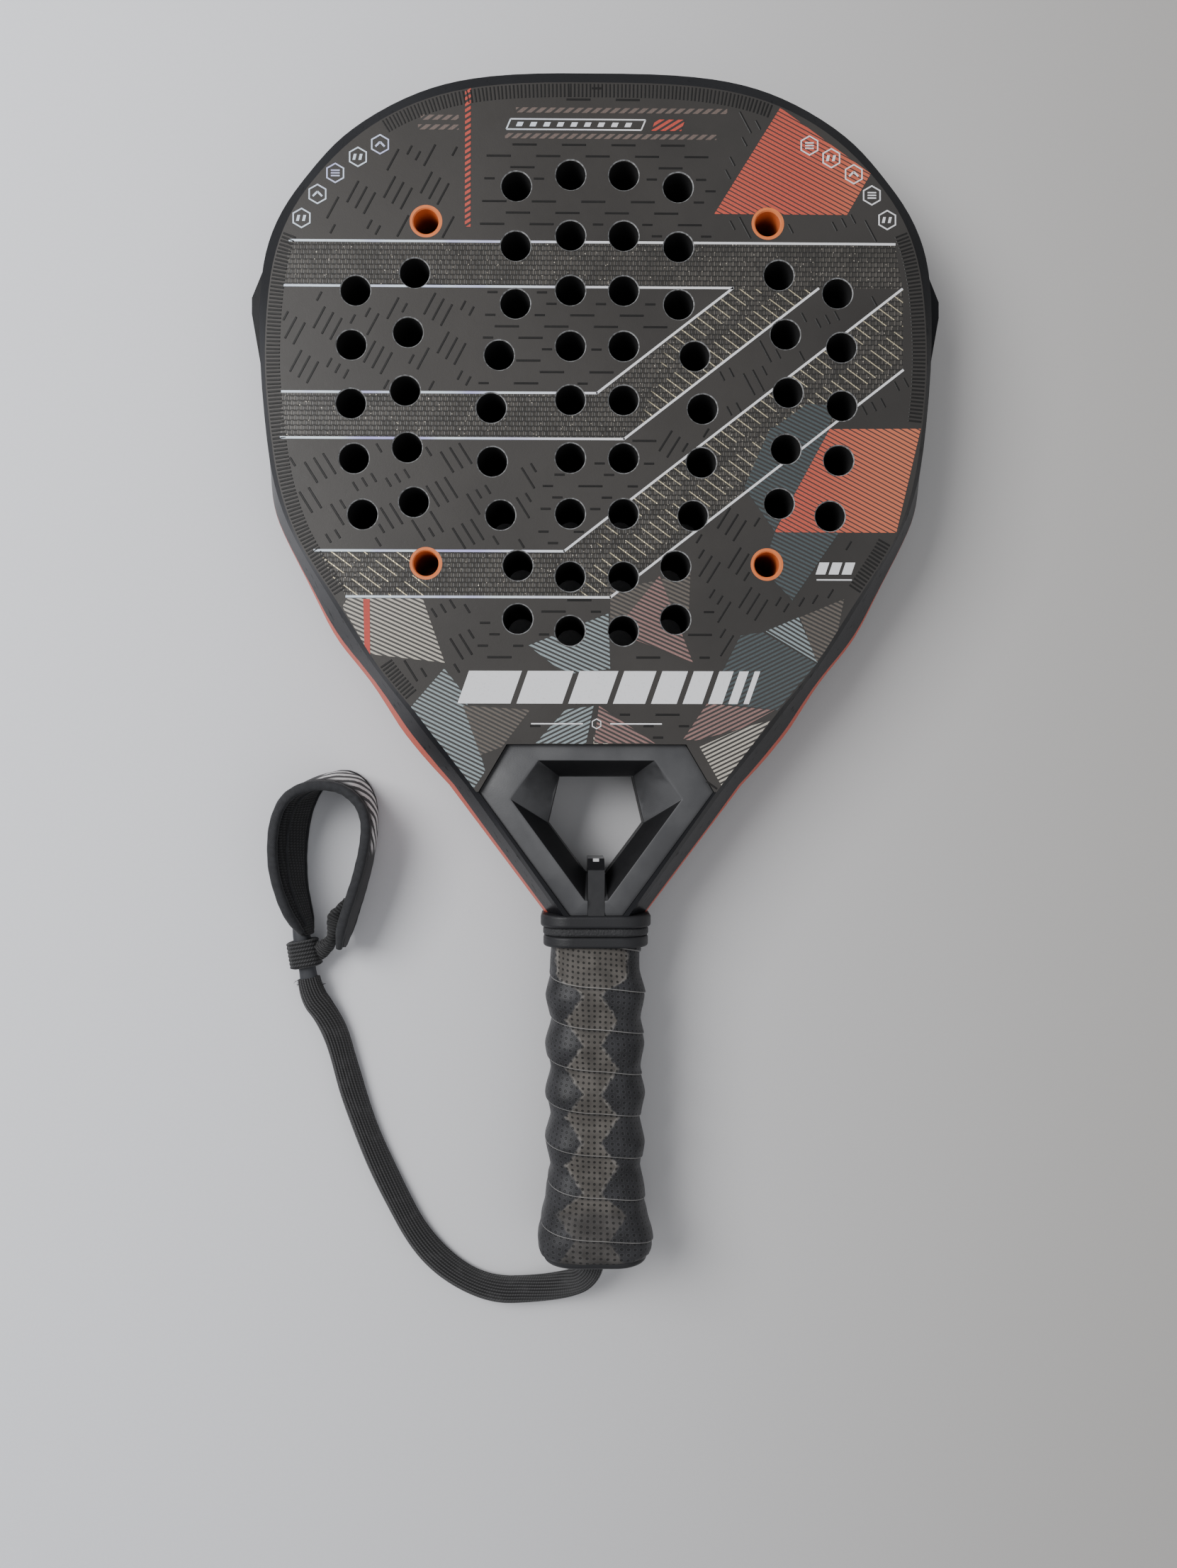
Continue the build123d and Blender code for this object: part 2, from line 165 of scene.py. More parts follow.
class Paint:
    """One material while its nodes are laid."""

    def __init__(self, name, rough=0.5, **fixed):
        self.material = bpy.data.materials.new(name)
        self.material.use_nodes = True
        self.tree = self.material.node_tree
        self.shader = self.tree.nodes["Principled BSDF"]
        self.shader.inputs["Roughness"].default_value = rough
        for socket, value in fixed.items():
            self.shader.inputs[socket.replace("_", " ")].default_value = value

    def node(self, kind, sockets, out=0, **settings):
        made = self.tree.nodes.new(kind)
        for name, value in settings.items():
            setattr(made, name, value)
        for key, value in sockets.items():
            if isinstance(value, Term):
                self.tree.links.new(value.socket, made.inputs[key])
            else:
                made.inputs[key].default_value = value
        return Term(self, made.outputs[out])

    def parts(self, spot, axes):
        """The asked coordinates of a point, in millimetres."""
        large = self.node("ShaderNodeVectorMath", {0: spot, 3: 1 / MM}, operation="SCALE")
        return [self.node("ShaderNodeSeparateXYZ", {0: large}, axis) for axis in axes]

    def place(self, axes="XY"):
        """The point on the piece, as one number for each asked axis."""
        return self.parts(self.node("ShaderNodeTexCoord", {}, "Object"), axes)

    def lay(self):
        """The point on the piece's own map: across it and along it."""
        return self.parts(self.node("ShaderNodeUVMap", {}, uv_map="lay"), "XY")

    def level(self):
        """How far the surface faces straight up or down, from 0 to 1."""
        facing = self.node("ShaderNodeNewGeometry", {}, "Normal")
        return abs(self.node("ShaderNodeSeparateXYZ", {0: facing}, "Z"))

    def noise(self, size, detail=2.0, stretch=(1, 1, 1)):
        """Soft noise whose blotches are about size millimetres, from 0 to 1."""
        spot = self.node("ShaderNodeTexCoord", {}, "Object")
        spot = self.node("ShaderNodeMapping", {0: spot, "Scale": stretch})
        return self.node("ShaderNodeTexNoise", {"Vector": spot, "Scale": 1 / (size * MM), "Detail": detail})

    def grains(self, *numbers):
        """A number between 0 and 1 drawn for each whole step of the given numbers."""
        spot = self.node("ShaderNodeCombineXYZ", {i: n for i, n in enumerate(numbers)})
        return self.node("ShaderNodeTexWhiteNoise", {0: spot}, noise_dimensions="3D")

    def mix(self, share, first, second):
        both = {0: share, 6: first, 7: second}
        both = {k: (*v, 1) if isinstance(v, (tuple, list)) or hasattr(v, "r") else v for k, v in both.items()}
        return self.node("ShaderNodeMix", both, 2, data_type="RGBA")

    def set(self, socket, value):
        if isinstance(value, Term):
            self.tree.links.new(value.socket, self.shader.inputs[socket])
        else:
            self.shader.inputs[socket].default_value = (*value, 1) if len(value) == 3 else value

    def bump(self, height, depth):
        """Relief whose full height is depth millimetres."""
        made = self.node("ShaderNodeBump", {"Height": height, "Distance": depth * MM, "Strength": 1.0}, "Normal")
        self.set("Normal", made)

    def finish(self, base, rough, height, depth):
        """Sets the colour, the roughness and the relief."""
        self.set("Base Color", base)
        self.set("Roughness", rough)
        self.bump(height, depth)
        return self

    def shades(self, share, tone, dark, light):
        """A tone that goes from dark times itself to light times itself."""
        return self.mix(share, shade(tone, dark), shade(tone, light))


def shade(tone, factor):
    return tuple(min(1.0, c * factor) for c in tone)


# ---------------------------------------------------------------- modelling helpers

def settings(kind):
    return getattr(bpy.context.scene, kind)


def start():
    if bpy.context.mode != "OBJECT":
        bpy.ops.object.mode_set(mode="OBJECT")
    bpy.ops.object.select_all(action="DESELECT")


def take(*objects):
    start()
    for piece in objects:
        piece.select_set(True)
    bpy.context.view_layer.objects.active = objects[0]


@contextmanager
def edit(piece):
    """Edit mode on one piece with all of it selected."""
    take(piece)
    bpy.ops.object.mode_set(mode="EDIT")
    bpy.ops.mesh.select_all(action="SELECT")
    yield
    bpy.ops.object.mode_set(mode="OBJECT")


def linked(name, data):
    """A new object in the scene."""
    piece = bpy.data.objects.new(name, data)
    bpy.context.scene.collection.objects.link(piece)
    return piece


def copy_of(source, name):
    """A new piece with its own copy of the source's mesh."""
    piece = linked(name, source.data.copy())
    piece.data.name = name
    return piece


def built(name, verts, faces, lays=()):
    """A piece of points in metres and faces, with a map in millimetres where one is given."""
    mesh = bpy.data.meshes.new(name)
    mesh.from_pydata(verts, [], faces)
    if lays:
        layer = mesh.uv_layers.new(name="lay")
        for loop, (across, along) in zip(layer.data, (spot for face in lays for spot in face)):
            loop.uv = (across * MM, along * MM)
    return linked(name, mesh)


def join(pieces, name):
    take(*pieces)
    if len(pieces) > 1:
        bpy.ops.object.join()
    piece = bpy.context.object
    piece.name = name
    piece.data.name = name
    return piece


def smooth(piece, degrees):
    take(piece)
    bpy.ops.object.shade_smooth_by_angle(angle=math.radians(degrees))


def settle(piece, paint, body, slot, *nodes, angle=None):
    """Gives a finished piece its smoothing, material and body, and hides the CAD nodes it stands for. The slot is
    not used.
    """
    if angle:
        smooth(piece, angle)
    piece.data.materials.clear()
    piece.data.materials.append(paint.material)
    if body:
        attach(piece, body)
    if nodes:
        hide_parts(*nodes)
    return piece


def coat(paint, *nodes):
    """Puts a material on CAD nodes."""
    for node in nodes:
        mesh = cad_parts[node].data
        mesh.materials.clear()
        mesh.materials.append(paint.material)


def modifier(piece, kind, **values):
    take(piece)
    bpy.ops.object.modifier_add(type=kind)
    made = piece.modifiers[-1]
    for name, value in values.items():
        setattr(made, name, value)
    bpy.ops.object.modifier_apply(modifier=made.name)


def swept(name, rings, capped=True):
    """A closed skin over rings of points, with a map in real size along and around it."""
    count = len(rings[0])
    verts = [tuple(c * MM for c in p) for ring in rings for p in ring]
    faces, lays = [], []
    along = [0.0]
    for low, high in zip(rings, rings[1:]):
        gap = sum((Vector(a) - Vector(b)).length for a, b in zip(low, high)) / count
        along.append(along[-1] + gap)
    around = [0.0]
    middle = rings[len(rings) // 2]
    for j in range(count):
        around.append(around[-1] + (Vector(middle[j]) - Vector(middle[(j + 1) % count])).length)
    for i in range(len(rings) - 1):
        for j in range(count):
            k = (j + 1) % count
            faces.append((i * count + j, i * count + k, (i + 1) * count + k, (i + 1) * count + j))
            lays.append(((around[j], along[i]), (around[j + 1], along[i]),
                         (around[j + 1], along[i + 1]), (around[j], along[i + 1])))
    if capped:
        last = (len(rings) - 1) * count
        faces.append(tuple(range(count - 1, -1, -1)))
        lays.append(tuple((around[j], 0.0) for j in range(count - 1, -1, -1)))
        faces.append(tuple(range(last, last + count)))
        lays.append(tuple((around[j], along[-1]) for j in range(count)))
    piece = built(name, verts, faces, lays)
    with edit(piece):
        if not capped:
            bpy.ops.mesh.remove_doubles(threshold=MERGE)
        bpy.ops.mesh.normals_make_consistent(inside=False)
    return piece


def spline_points(route, fineness=16):
    """Points on the smooth line that a route's points control."""
    data = bpy.data.curves.new("route", "CURVE")
    data.dimensions = "3D"
    line = data.splines.new("NURBS")
    line.points.add(len(route) - 1)
    for point, place in zip(line.points, route):
        point.co = (*(c * MM for c in place), 1)
    line.order_u = 3
    line.use_endpoint_u = True
    line.resolution_u = fineness
    holder = linked("route", data)
    bpy.context.view_layer.update()
    mesh = bpy.data.meshes.new_from_object(holder)
    points = [tuple(c / MM for c in v.co) for v in mesh.vertices]
    bpy.data.objects.remove(holder)
    bpy.data.meshes.remove(mesh)
    return points


def directions(points):
    """The direction of a line at each of its points."""
    ahead = points[1:] + points[-1:]
    behind = points[:1] + points[:-1]
    return [(Vector(b) - Vector(a)).normalized() for a, b in zip(behind, ahead)]


def stations(points):
    """For each point of a line, how far along it is from 0 to 1, the point and the direction."""
    last = len(points) - 1
    return [(i / last, point, way) for i, (point, way) in enumerate(zip(points, directions(points)))]


def squared(angle, wide, high, power):
    """A point on an oval of half sizes wide and high, boxier the lower the power."""
    c, s = math.cos(angle), math.sin(angle)
    return wide * math.copysign(abs(c) ** power, c), high * math.copysign(abs(s) ** power, s)


def stamped(pattern, name, places):
    """One mesh with a copy of the pattern at each place: x, y, turn and scale along its length."""
    base = [v.co.copy() for v in pattern.data.vertices]
    shapes = [tuple(p.vertices) for p in pattern.data.polygons]
    verts, faces = [], []
    for x, y, turn, long in places:
        first = len(verts)
        c, s = math.cos(turn), math.sin(turn)
        for p in base:
            along = p.x * long
            verts.append((x * MM + along * c - p.y * s, y * MM + along * s + p.y * c, p.z))
        faces.extend(tuple(first + i for i in shape) for shape in shapes)
    bpy.data.objects.remove(pattern)
    return built(name, verts, faces)


def keep_faces(piece, wanted):
    """Deletes the faces that the test turns down, merging the loose triangles first."""
    with edit(piece):
        bpy.ops.mesh.remove_doubles(threshold=MERGE)
        bpy.ops.mesh.select_mode(type="FACE")
        bpy.ops.mesh.select_all(action="DESELECT")
    for face in piece.data.polygons:
        face.select = not wanted(face)
    bpy.ops.object.mode_set(mode="EDIT")
    bpy.ops.mesh.delete(type="FACE")
    bpy.ops.mesh.select_mode(type="VERT")
    bpy.ops.object.mode_set(mode="OBJECT")
    return piece


def turned_over(piece, name):
    """A copy for the other face: turned half round the racket's long axis."""
    copy = copy_of(piece, name)
    copy.data.transform(Matrix.Translation((0, 0, MID * MM)) @ Matrix.Rotation(math.pi, 4, "Y")
                        @ Matrix.Translation((0, 0, -MID * MM)))
    return copy


def on_both_faces(piece, paint):
    """Puts a piece of the front face on the rear face as well."""
    copy = turned_over(piece, "rear_" + piece.name)
    piece.name = "front_" + piece.name
    piece.data.name = piece.name
    settle(piece, paint, "racket", "face_laminate")
    settle(copy, paint, "racket", "face_laminate")


# ---------------------------------------------------------------- the printed design

BANDS = [
    [(-114.8, 143.2), (113.0, 143.2), (110.0, 159.8), (-113.0, 159.8)],
    [(-116.0, 87.2), (10.0, 87.2), (0.0, 104.1), (-115.6, 104.1)],
    [(10.0, 87.2), (81.7, 143.2), (50.1, 143.2), (0.0, 104.1)],
    [(-91.8, 28.9), (5.0, 28.9), (-12.0, 45.8), (-103.6, 45.8)],
    [(5.0, 28.9), (113.0, 113.2), (113.0, 143.2), (-12.0, 45.8)],
]
PINSTRIPES = [
    [(-114.8, 143.2), (50.1, 143.2)], [(-113.0, 159.8), (110.0, 159.8)],
    [(-116.0, 87.2), (10.0, 87.2), (81.7, 143.2)], [(-115.6, 104.1), (0.0, 104.1), (50.1, 143.2)],
    [(-91.8, 28.9), (5.0, 28.9), (113.0, 113.2)], [(-103.6, 45.8), (-12.0, 45.8), (112.7, 143.2)],
]
WARM_FIELDS = [
    [(67.6, 210.2), (43.2, 170.6), (92.3, 170.6), (101.1, 186.0)],
    [(85.5, 91.3), (65.5, 53.1), (110.5, 53.1), (119.6, 91.6)],
]
CAMO = {
    "beige": ((0.50, 0.46, 0.39), [
        (-24, [(-91.4, 28.3), (-63.8, 28.2), (-55.7, 4.7), (-83.2, 7.8), (-93.2, 25.2)]),
        (26, [(65.9, -13.5), (46.1, -40.5), (36.8, -24.0), (52.9, -19.3)]),
        (-24, [(-1.1, -21.6), (4.6, -24.9), (-1.1, -24.9)]),
    ]),
    "slate": ((0.27, 0.33, 0.345), [
        (-26, [(-55.9, 2.6), (-48.3, -6.9), (-40.8, -35.0), (-45.3, -41.8), (-68.2, -11.7)]),
        (-24, [(-25.1, 11.1), (4.35, 23.0), (5.0, 2.6), (-11.4, 0.6)]),
        (26, [(-22.3, -24.7), (-11.4, -12.4), (-1.1, -11.0), (-3.9, -25.0)]),
        (-30, [(62.2, 16.6), (74.4, 21.8), (81.4, 5.1)]),
    ]),
    "taupe": ((0.125, 0.105, 0.088), [
        (-26, [(-49.0, -11.0), (-25.1, -12.4), (-17.0, -19.3), (-34.6, -26.1), (-40.8, -34.3)]),
        (-26, [(74.8, 21.8), (91.2, 28.6), (88.5, 15.0), (81.0, 5.4)]),
        (-24, [(5.0, 20.0), (33.8, 20.4), (34.5, 38.0), (5.0, 31.4)]),
    ]),
    "mauve": ((0.285, 0.155, 0.140), [
        (-24, [(23.1, 36.9), (35.4, 5.1), (6.4, 16.3)]),
        (-26, [(0.9, -11.0), (21.5, -24.7), (-0.9, -24.7)]),
        (26, [(40.6, -10.1), (65.5, -12.4), (52.9, -19.3), (36.8, -23.6), (31.7, -23.4)]),
    ]),
    "teal": ((0.062, 0.082, 0.088), [
        (-26, [(77.6, 100.7), (88.5, 99.8), (85.1, 91.6), (65.2, 91.6)]),
        (-26, [(63.9, 91.6), (86.0, 91.6), (65.5, 53.5), (54.3, 69.7)]),
        (-26, [(65.5, 53.0), (89.2, 53.0), (72.1, 28.0), (61.1, 39.6)]),
        (26, [(52.9, 15.0), (61.1, 16.3), (81.0, 4.7), (66.6, -12.4), (40.6, -9.7)]),
    ]),
}
BADGES = [(-108.6, 168.0), (-102.8, 176.9), (-96.3, 184.7), (-88.0, 190.7), (-79.9, 195.4),
          (78.4, 196.2), (86.5, 191.6), (94.8, 185.7), (101.5, 177.9), (107.2, 168.8)]
HOLE_ROWS = [
    [(9.8, y) for y in (184.7, 162.3, 142.0, 121.5, 101.6, 80.2, 59.7, 36.5, 16.6)],
    [(29.8, 180.4), (30.0, 158.3), (30.1, 137.0), (36.0, 118.0), (38.9, 98.5), (38.5, 78.7), (35.4, 59.1),
     (29.0, 40.5), (29.0, 20.9)],
    [(67.1, 148.1), (69.5, 126.2), (70.5, 104.7), (69.7, 83.8), (67.2, 63.7)],
    [(88.8, 141.5), (90.3, 121.5), (90.4, 99.9), (89.2, 79.7), (86.0, 59.1)],
    [(63.0, 167.2), (62.7, 41.2)],
]
HOLE_RADIUS = 5.5
HOLES = [(side * x, y) for row in HOLE_ROWS for x, y in row for side in (-1, 1)]


def sides_of(outline):
    """Each side of an outline as its two ends."""
    return zip(outline, outline[1:] + outline[:1])


def spin_of(outline):
    """Above 0 where an outline runs anticlockwise, and below 0 where it runs clockwise."""
    return sum(a[0] * b[1] - b[0] * a[1] for a, b in sides_of(outline))


def ordered(outline):
    """The outline with its corners anticlockwise."""
    return outline if spin_of(outline) > 0 else outline[::-1]


def inside(x, y, outline, margin):
    """Whether a point lies in a convex outline or within the margin round it."""
    for (x0, y0), (x1, y1) in sides_of(ordered(outline)):
        run = math.hypot(x1 - x0, y1 - y0)
        if ((x1 - x0) * (y - y0) - (y1 - y0) * (x - x0)) / run < -margin:
            return False
    return True


def bar(x0, y0, x1, y1, width):
    """The outline of a straight stroke."""
    run = math.hypot(x1 - x0, y1 - y0)
    dx, dy = (y0 - y1) / run * width / 2, (x1 - x0) / run * width / 2
    return [(x0 - dx, y0 - dy), (x1 - dx, y1 - dy), (x1 + dx, y1 + dy), (x0 + dx, y0 + dy)]


def leaning(x, y, width, height, lean):
    """The outline of a bar that leans to the right, from its lower left corner."""
    return [(x, y), (x + width, y), (x + width + lean, y + height), (x + lean, y + height)]


def plate_top():
    """The flat top of the front face with its holes, as a sheet to cut prints from."""
    piece = copy_of(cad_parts["front_face"], "plate_top")
    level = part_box("front_face")[1].z - 1e-5
    return keep_faces(piece, lambda f: f.normal.z > 0.99 and f.center.z > level)


def printed(plate, name, outlines, lift):
    """A thin printed layer: the plate's top cut to convex outlines and lifted."""
    parts = []
    for outline in outlines:
        part = copy_of(plate, name)
        with edit(part):
            for (x0, y0), (x1, y1) in sides_of(ordered(outline)):
                run = math.hypot(x1 - x0, y1 - y0)
                bpy.ops.mesh.select_all(action="SELECT")
                bpy.ops.mesh.bisect(plane_co=(x0 * MM, y0 * MM, 0), clear_outer=True, threshold=MERGE / 10,
                                    plane_no=((y1 - y0) / run, (x0 - x1) / run, 0))
        if len(part.data.polygons):
            parts.append(part)
        else:
            bpy.data.objects.remove(part)
    if not parts:
        raise ValueError(f"nothing of {name} lies on the face")
    piece = join(parts, name)
    piece.data.transform(Matrix.Translation((0, 0, lift * MM)))
    return piece


def plate_edge(plate):
    """The plate's outer edge as points in order."""
    uses = {}
    for face in plate.data.polygons:
        for pair in face.edge_keys:
            uses[pair] = uses.get(pair, 0) + 1
    ends = {}
    for (a, b), count in uses.items():
        if count == 1:
            ends.setdefault(a, []).append(b)
            ends.setdefault(b, []).append(a)
    first = max(ends, key=lambda i: plate.data.vertices[i].co.y)
    loop, last = [first], None
    while True:
        ways = [i for i in ends[loop[-1]] if i != last]
        last = loop[-1]
        if ways[0] == first:
            break
        loop.append(ways[0])
    return [tuple(c / MM for c in plate.data.vertices[i].co[:2]) for i in loop]


def evenly(points, pitch):
    """Points a pitch apart along a closed line, each with the line's direction there."""
    spots, left = [], 0.0
    for (x0, y0), (x1, y1) in sides_of(points):
        run = math.hypot(x1 - x0, y1 - y0)
        while left < run:
            t = left / run
            spots.append((x0 + (x1 - x0) * t, y0 + (y1 - y0) * t, math.atan2(y1 - y0, x1 - x0)))
            left += pitch
        left -= run
    return spots


def raised_bar(long, wide, high):
    """One raised bar with sloping sides, open underneath."""
    start()
    bpy.ops.mesh.primitive_plane_add(size=1, location=(0, 0, THICKNESS * MM))
    piece = bpy.context.object
    with edit(piece):
        bpy.ops.transform.resize(value=(long * MM, wide * MM, 1))
        bpy.ops.mesh.extrude_region_move(TRANSFORM_OT_translate={"value": (0, 0, high * MM)})
        bpy.ops.transform.resize(value=(1 - 0.5 * wide / long, 0.5, 1))
    bpy.ops.object.transform_apply(location=True, rotation=True, scale=True)
    return keep_faces(piece, lambda face: face.normal.z > -0.5)


# ---------------------------------------------------------------- finishes

def laminate_paint():
    tones = settings("racket_face")
    paint = Paint("face_charcoal", 0.42, Coat_Weight=0.1, Coat_Roughness=0.3, Specular_IOR_Level=0.35)
    x, = paint.place("X")
    base = paint.shades(paint.noise(60, 3).ramp(0.3, 0.7), tones.laminate, 0.85, 1.18)
    # Painted light: the face is mixed towards a lighter tone at its left end (negative x) and keeps its plain tone
    # at its right end.
    base = paint.mix((x / 240 + 0.5).ramp(0, 1), paint.mix(0.28, base, (0.058, 0.052, 0.047)), base)
    up = paint.level()
    chips = paint.noise(1.4, 3).ramp(0.38, 0.62)
    rim = up.ramp(0.45, 0.6) * up.ramp(0.93, 0.85)
    base = paint.mix(rim * (0.35 + 0.65 * chips), base, (0.30, 0.305, 0.31))
    relief = paint.noise(0.35, 3) + 0.5 * paint.noise(1.2, 2)
    return paint.finish(base, 0.36 + 0.14 * paint.noise(3.0, 3), relief, 0.03)


def weave_paint():
    """Twill of coarse strands under clear lacquer, with fine glitter and gold dashes on the slopes."""
    tones = settings("racket_face")
    paint = Paint("face_woven", 0.33, Coat_Weight=0.1, Coat_Roughness=0.2, Specular_IOR_Level=0.4)
    x, y = paint.place()
    strand, tow = 2.3, 1.8
    row = (y / tow).steps()
    cell = x / strand + row * 0.5
    u, v = cell.part(), (y / tow).part()
    body = (u * math.pi).wave().ramp(0.1, 0.6) * (v * math.pi).wave().ramp(0.1, 0.7)
    thread = u.ramp(0.72, 0.8) * u.ramp(0.98, 0.9) * v.ramp(0.0, 0.2)
    height = (body * 0.75 + thread).least(1.0)
    glint = paint.noise(9, 2).ramp(0.35, 0.7)
    draw = paint.grains(cell.steps(), row, 1.0)
    base = paint.mix(body * (0.22 + 0.3 * draw + 0.15 * glint), tones.weave_dark, tones.weave_light)
    base = paint.mix(thread * (0.3 + 0.5 * glint), base, shade(tones.weave_light, 1.7))
    fleck = 0.33
    spark = paint.grains((x / fleck).steps(), (y / fleck).steps(), 3.0) > 0.995
    base = paint.mix(spark * 0.75, base, (0.55, 0.5, 0.42))
    slope = 0.781
    steep = 1.269
    along, across = (x + slope * y) / steep, (y - slope * x) / steep
    zone = ((x - (y - 28.0) * 0.35).ramp(-8, -4) + (x + 60.0).ramp(0, -6) * y.ramp(60, 56)).least(1.0)
    zone = zone * y.ramp(143, 142.6)
    stroke = ((along + across * 0.28) / 3.7).part() < 0.10
    reach = ((across + 1.5) / 12.6).part() < 0.72
    gold = stroke * reach * zone
    base = paint.mix(gold, base, (0.62, 0.54, 0.36))
    paint.set("Metallic", gold * 0.6 + spark * 0.5)
    return paint.finish(base, 0.42 - 0.14 * height, height, 0.10)


def striped_paint(name, tone, degrees, pitch, share, tone_right=None):
    """Fine printed lines over charcoal."""
    base = settings("racket_face").laminate
    paint = Paint(name, 0.42, Coat_Weight=0.25, Coat_Roughness=0.3)
    x, y = paint.place()
    turn = math.radians(degrees)
    across = y * math.cos(turn) - x * math.sin(turn)
    phase = (across / pitch).part()
    line = phase.ramp(0.0, 0.08) * phase.ramp(share + 0.08, share)
    mottle = paint.noise(0.5, 3)
    ink = paint.shades(mottle.ramp(0.3, 0.75), tone, 0.82, 1.1)
    if tone_right:
        ink = paint.mix(x.ramp(70, 118), ink, tone_right)
    return paint.finish(paint.mix(line, shade(base, 0.8), ink), 0.36 + 0.14 * paint.noise(3.0, 3),
                        line + 0.5 * mottle, 0.03)


def white_paint():
    """White print that turns lilac and pale blue along the stripes."""
    tones = settings("racket_face")
    paint = Paint("print_white", 0.32, Coat_Weight=0.4, Coat_Roughness=0.2)
    x, y = paint.place()
    tide = paint.noise(26, 2, (1, 0.4, 1))
    tint = paint.mix(tide.ramp(0.40, 0.62), (0.72, 0.84, 0.95), (0.36, 0.33, 0.82))
    left = x.ramp(10, -60) * (y > 20)
    base = paint.mix(left * 0.85, tones.stripe_white, tint)
    paint.set("Base Color", paint.mix(paint.noise(0.8, 3).ramp(0.55, 0.8) * 0.25, base, (0.35, 0.35, 0.36)))
    paint.set("Roughness", 0.28 + 0.15 * paint.noise(2.0, 2))
    return paint


def plain_paint(name, tone, rough, grain, depth, cloud=0.12, **fixed):
    """A moulded finish with a fine grain and slow changes of tone."""
    paint = Paint(name, rough, Specular_IOR_Level=0.35, **fixed)
    fine = paint.noise(grain, 3)
    base = paint.shades(paint.noise(18, 3).ramp(0.3, 0.7), tone, 1 - cloud, 1 + cloud)
    base = paint.mix(fine.ramp(0.55, 0.8) * 0.3, base, shade(tone, 1.5))
    return paint.finish(base, rough - 0.06 + 0.12 * paint.noise(4, 3), fine, depth)


def sleeve_paint():
    """Orange moulding with painted shade that darkens it down its bore."""
    paint = Paint("sleeve_orange", 0.5)
    z, = paint.place("Z")
    # Painted shade: the bore turns dark brown towards the middle of its depth.
    bore_shade = abs(z - MID).ramp(17.5, 8)
    base = paint.mix(paint.noise(3, 3), (0.66, 0.150, 0.036), (0.80, 0.215, 0.060))
    paint.set("Base Color", paint.mix(bore_shade, base, (0.16, 0.028, 0.010)))
    paint.bump(paint.noise(0.8, 3), 0.04)
    return paint


def frame_paint():
    """Near black lacquer with a coral line along the widest part of the lower flanks."""
    paint = Paint("frame_lacquer", 0.38, Specular_IOR_Level=0.22)
    x, y, z = paint.place("XYZ")
    base = paint.mix(paint.noise(30, 3).ramp(0.3, 0.7), (0.0050, 0.0052, 0.0066), (0.0080, 0.0084, 0.0105))
    rise = abs(z - MID)
    left = 0.5 + 0.5 * (x < 0)
    reach = 1.8 * left * y.ramp(90, 30) + (1.4 + 1.8 * left) * y.ramp(40, -5) - 1.2 * y.ramp(-25, -60)
    flank = (reach - rise).ramp(0.0, 0.35) * y.ramp(96, 90)
    coral = paint.mix(paint.noise(1.5, 3), (0.50, 0.085, 0.055), (0.60, 0.125, 0.085))
    scuffs = paint.noise(2.2, 4, (1, 0.25, 1)).ramp(0.6, 0.75)
    rough = 0.34 + 0.2 * scuffs + 0.08 * paint.noise(0.6, 2)
    relief = paint.noise(0.7, 3) + 0.4 * paint.noise(3, 2)
    return paint.finish(paint.mix(flank, base, coral), rough, relief, 0.02)


def throat_paint():
    """Satin dark grey moulding, with painted shade that makes its steep walls by the opening near black."""
    paint = Paint("throat_satin", 0.46, Specular_IOR_Level=0.4)
    base = paint.mix(paint.noise(14, 3).ramp(0.3, 0.7), (0.060, 0.0605, 0.064), (0.082, 0.0825, 0.086))
    # Painted shade: faces that turn sideways, such as the walls by the opening, are mixed towards near black.
    base = paint.mix(paint.level().ramp(0.88, 0.55), base, (0.008, 0.008, 0.009))
    return paint.finish(base, 0.40 + 0.14 * paint.noise(4, 3), paint.noise(0.5, 3), 0.04)


def tape_paint():
    """Overgrip: perforated, ribbed film, worn pale in a row of diamonds."""
    tones = settings("racket_handle")
    paint = Paint("overgrip_film", 0.6, Specular_IOR_Level=0.22)
    x, y = paint.place()
    u, v = paint.lay()
    pitch = tones.dot_pitch
    a, b = (u / pitch).part() - 0.5, (v / pitch).part() - 0.5
    gap = (a * a + b * b).root() * pitch
    ragged = paint.noise(2.6, 3)
    dots = gap.ramp(0.52, 0.34)
    swing = abs(((y + 126.8) / 18.0 + 0.5).part() - 0.5) * 2 * y.ramp(-111, -117)
    half = 9.6 - 6.2 * swing + 3.4 * y.ramp(-116, -110) + 3.0 * y.ramp(-190, -198) + 1.6 * (ragged - 0.5)
    off = half - abs(x + 1.5)
    diamond = off.ramp(-0.4, 0.5) * (1 - 0.45 * y.ramp(-194, -200))
    fringe = off.ramp(-0.9, -0.1) * off.ramp(1.3, 0.5)
    smudge = paint.noise(7, 4)
    worn = paint.shades(smudge.ramp(0.3, 0.75), tones.worn, 0.62, 1.15)
    dark = paint.shades(smudge.ramp(0.3, 0.7), tones.tape, 0.75, 1.45)
    base = paint.mix(diamond, dark, worn)
    faint = 1 - 0.75 * y.ramp(-190, -198)
    base = paint.mix(fringe * ragged.ramp(0.35, 0.7) * faint * 0.7, base, (0.20, 0.188, 0.175))
    lip = v.ramp(0.42, 0.2)
    base = paint.mix(lip * (0.5 + 0.4 * ragged), base, (0.30, 0.29, 0.28))
    shadow = v.ramp(tones.wrap_pitch - 1.6, tones.wrap_pitch - 0.2)
    base = paint.mix(shadow * 0.55, base, (0.018, 0.018, 0.019))
    halo = gap.ramp(0.50, 0.62) * gap.ramp(0.85, 0.70) * (1 - diamond)
    base = paint.mix(halo * 0.35, base, shade(tones.tape, 2.6))
    punched = dots * (1 - lip) * (0.7 + 0.3 * diamond)
    base = paint.mix(punched * 0.9, base, (0.012, 0.012, 0.012))
    return paint.finish(base, 0.5 + 0.18 * diamond - 0.1 * smudge, (1 - dots) + 0.35 * paint.noise(0.8, 3), 0.16)


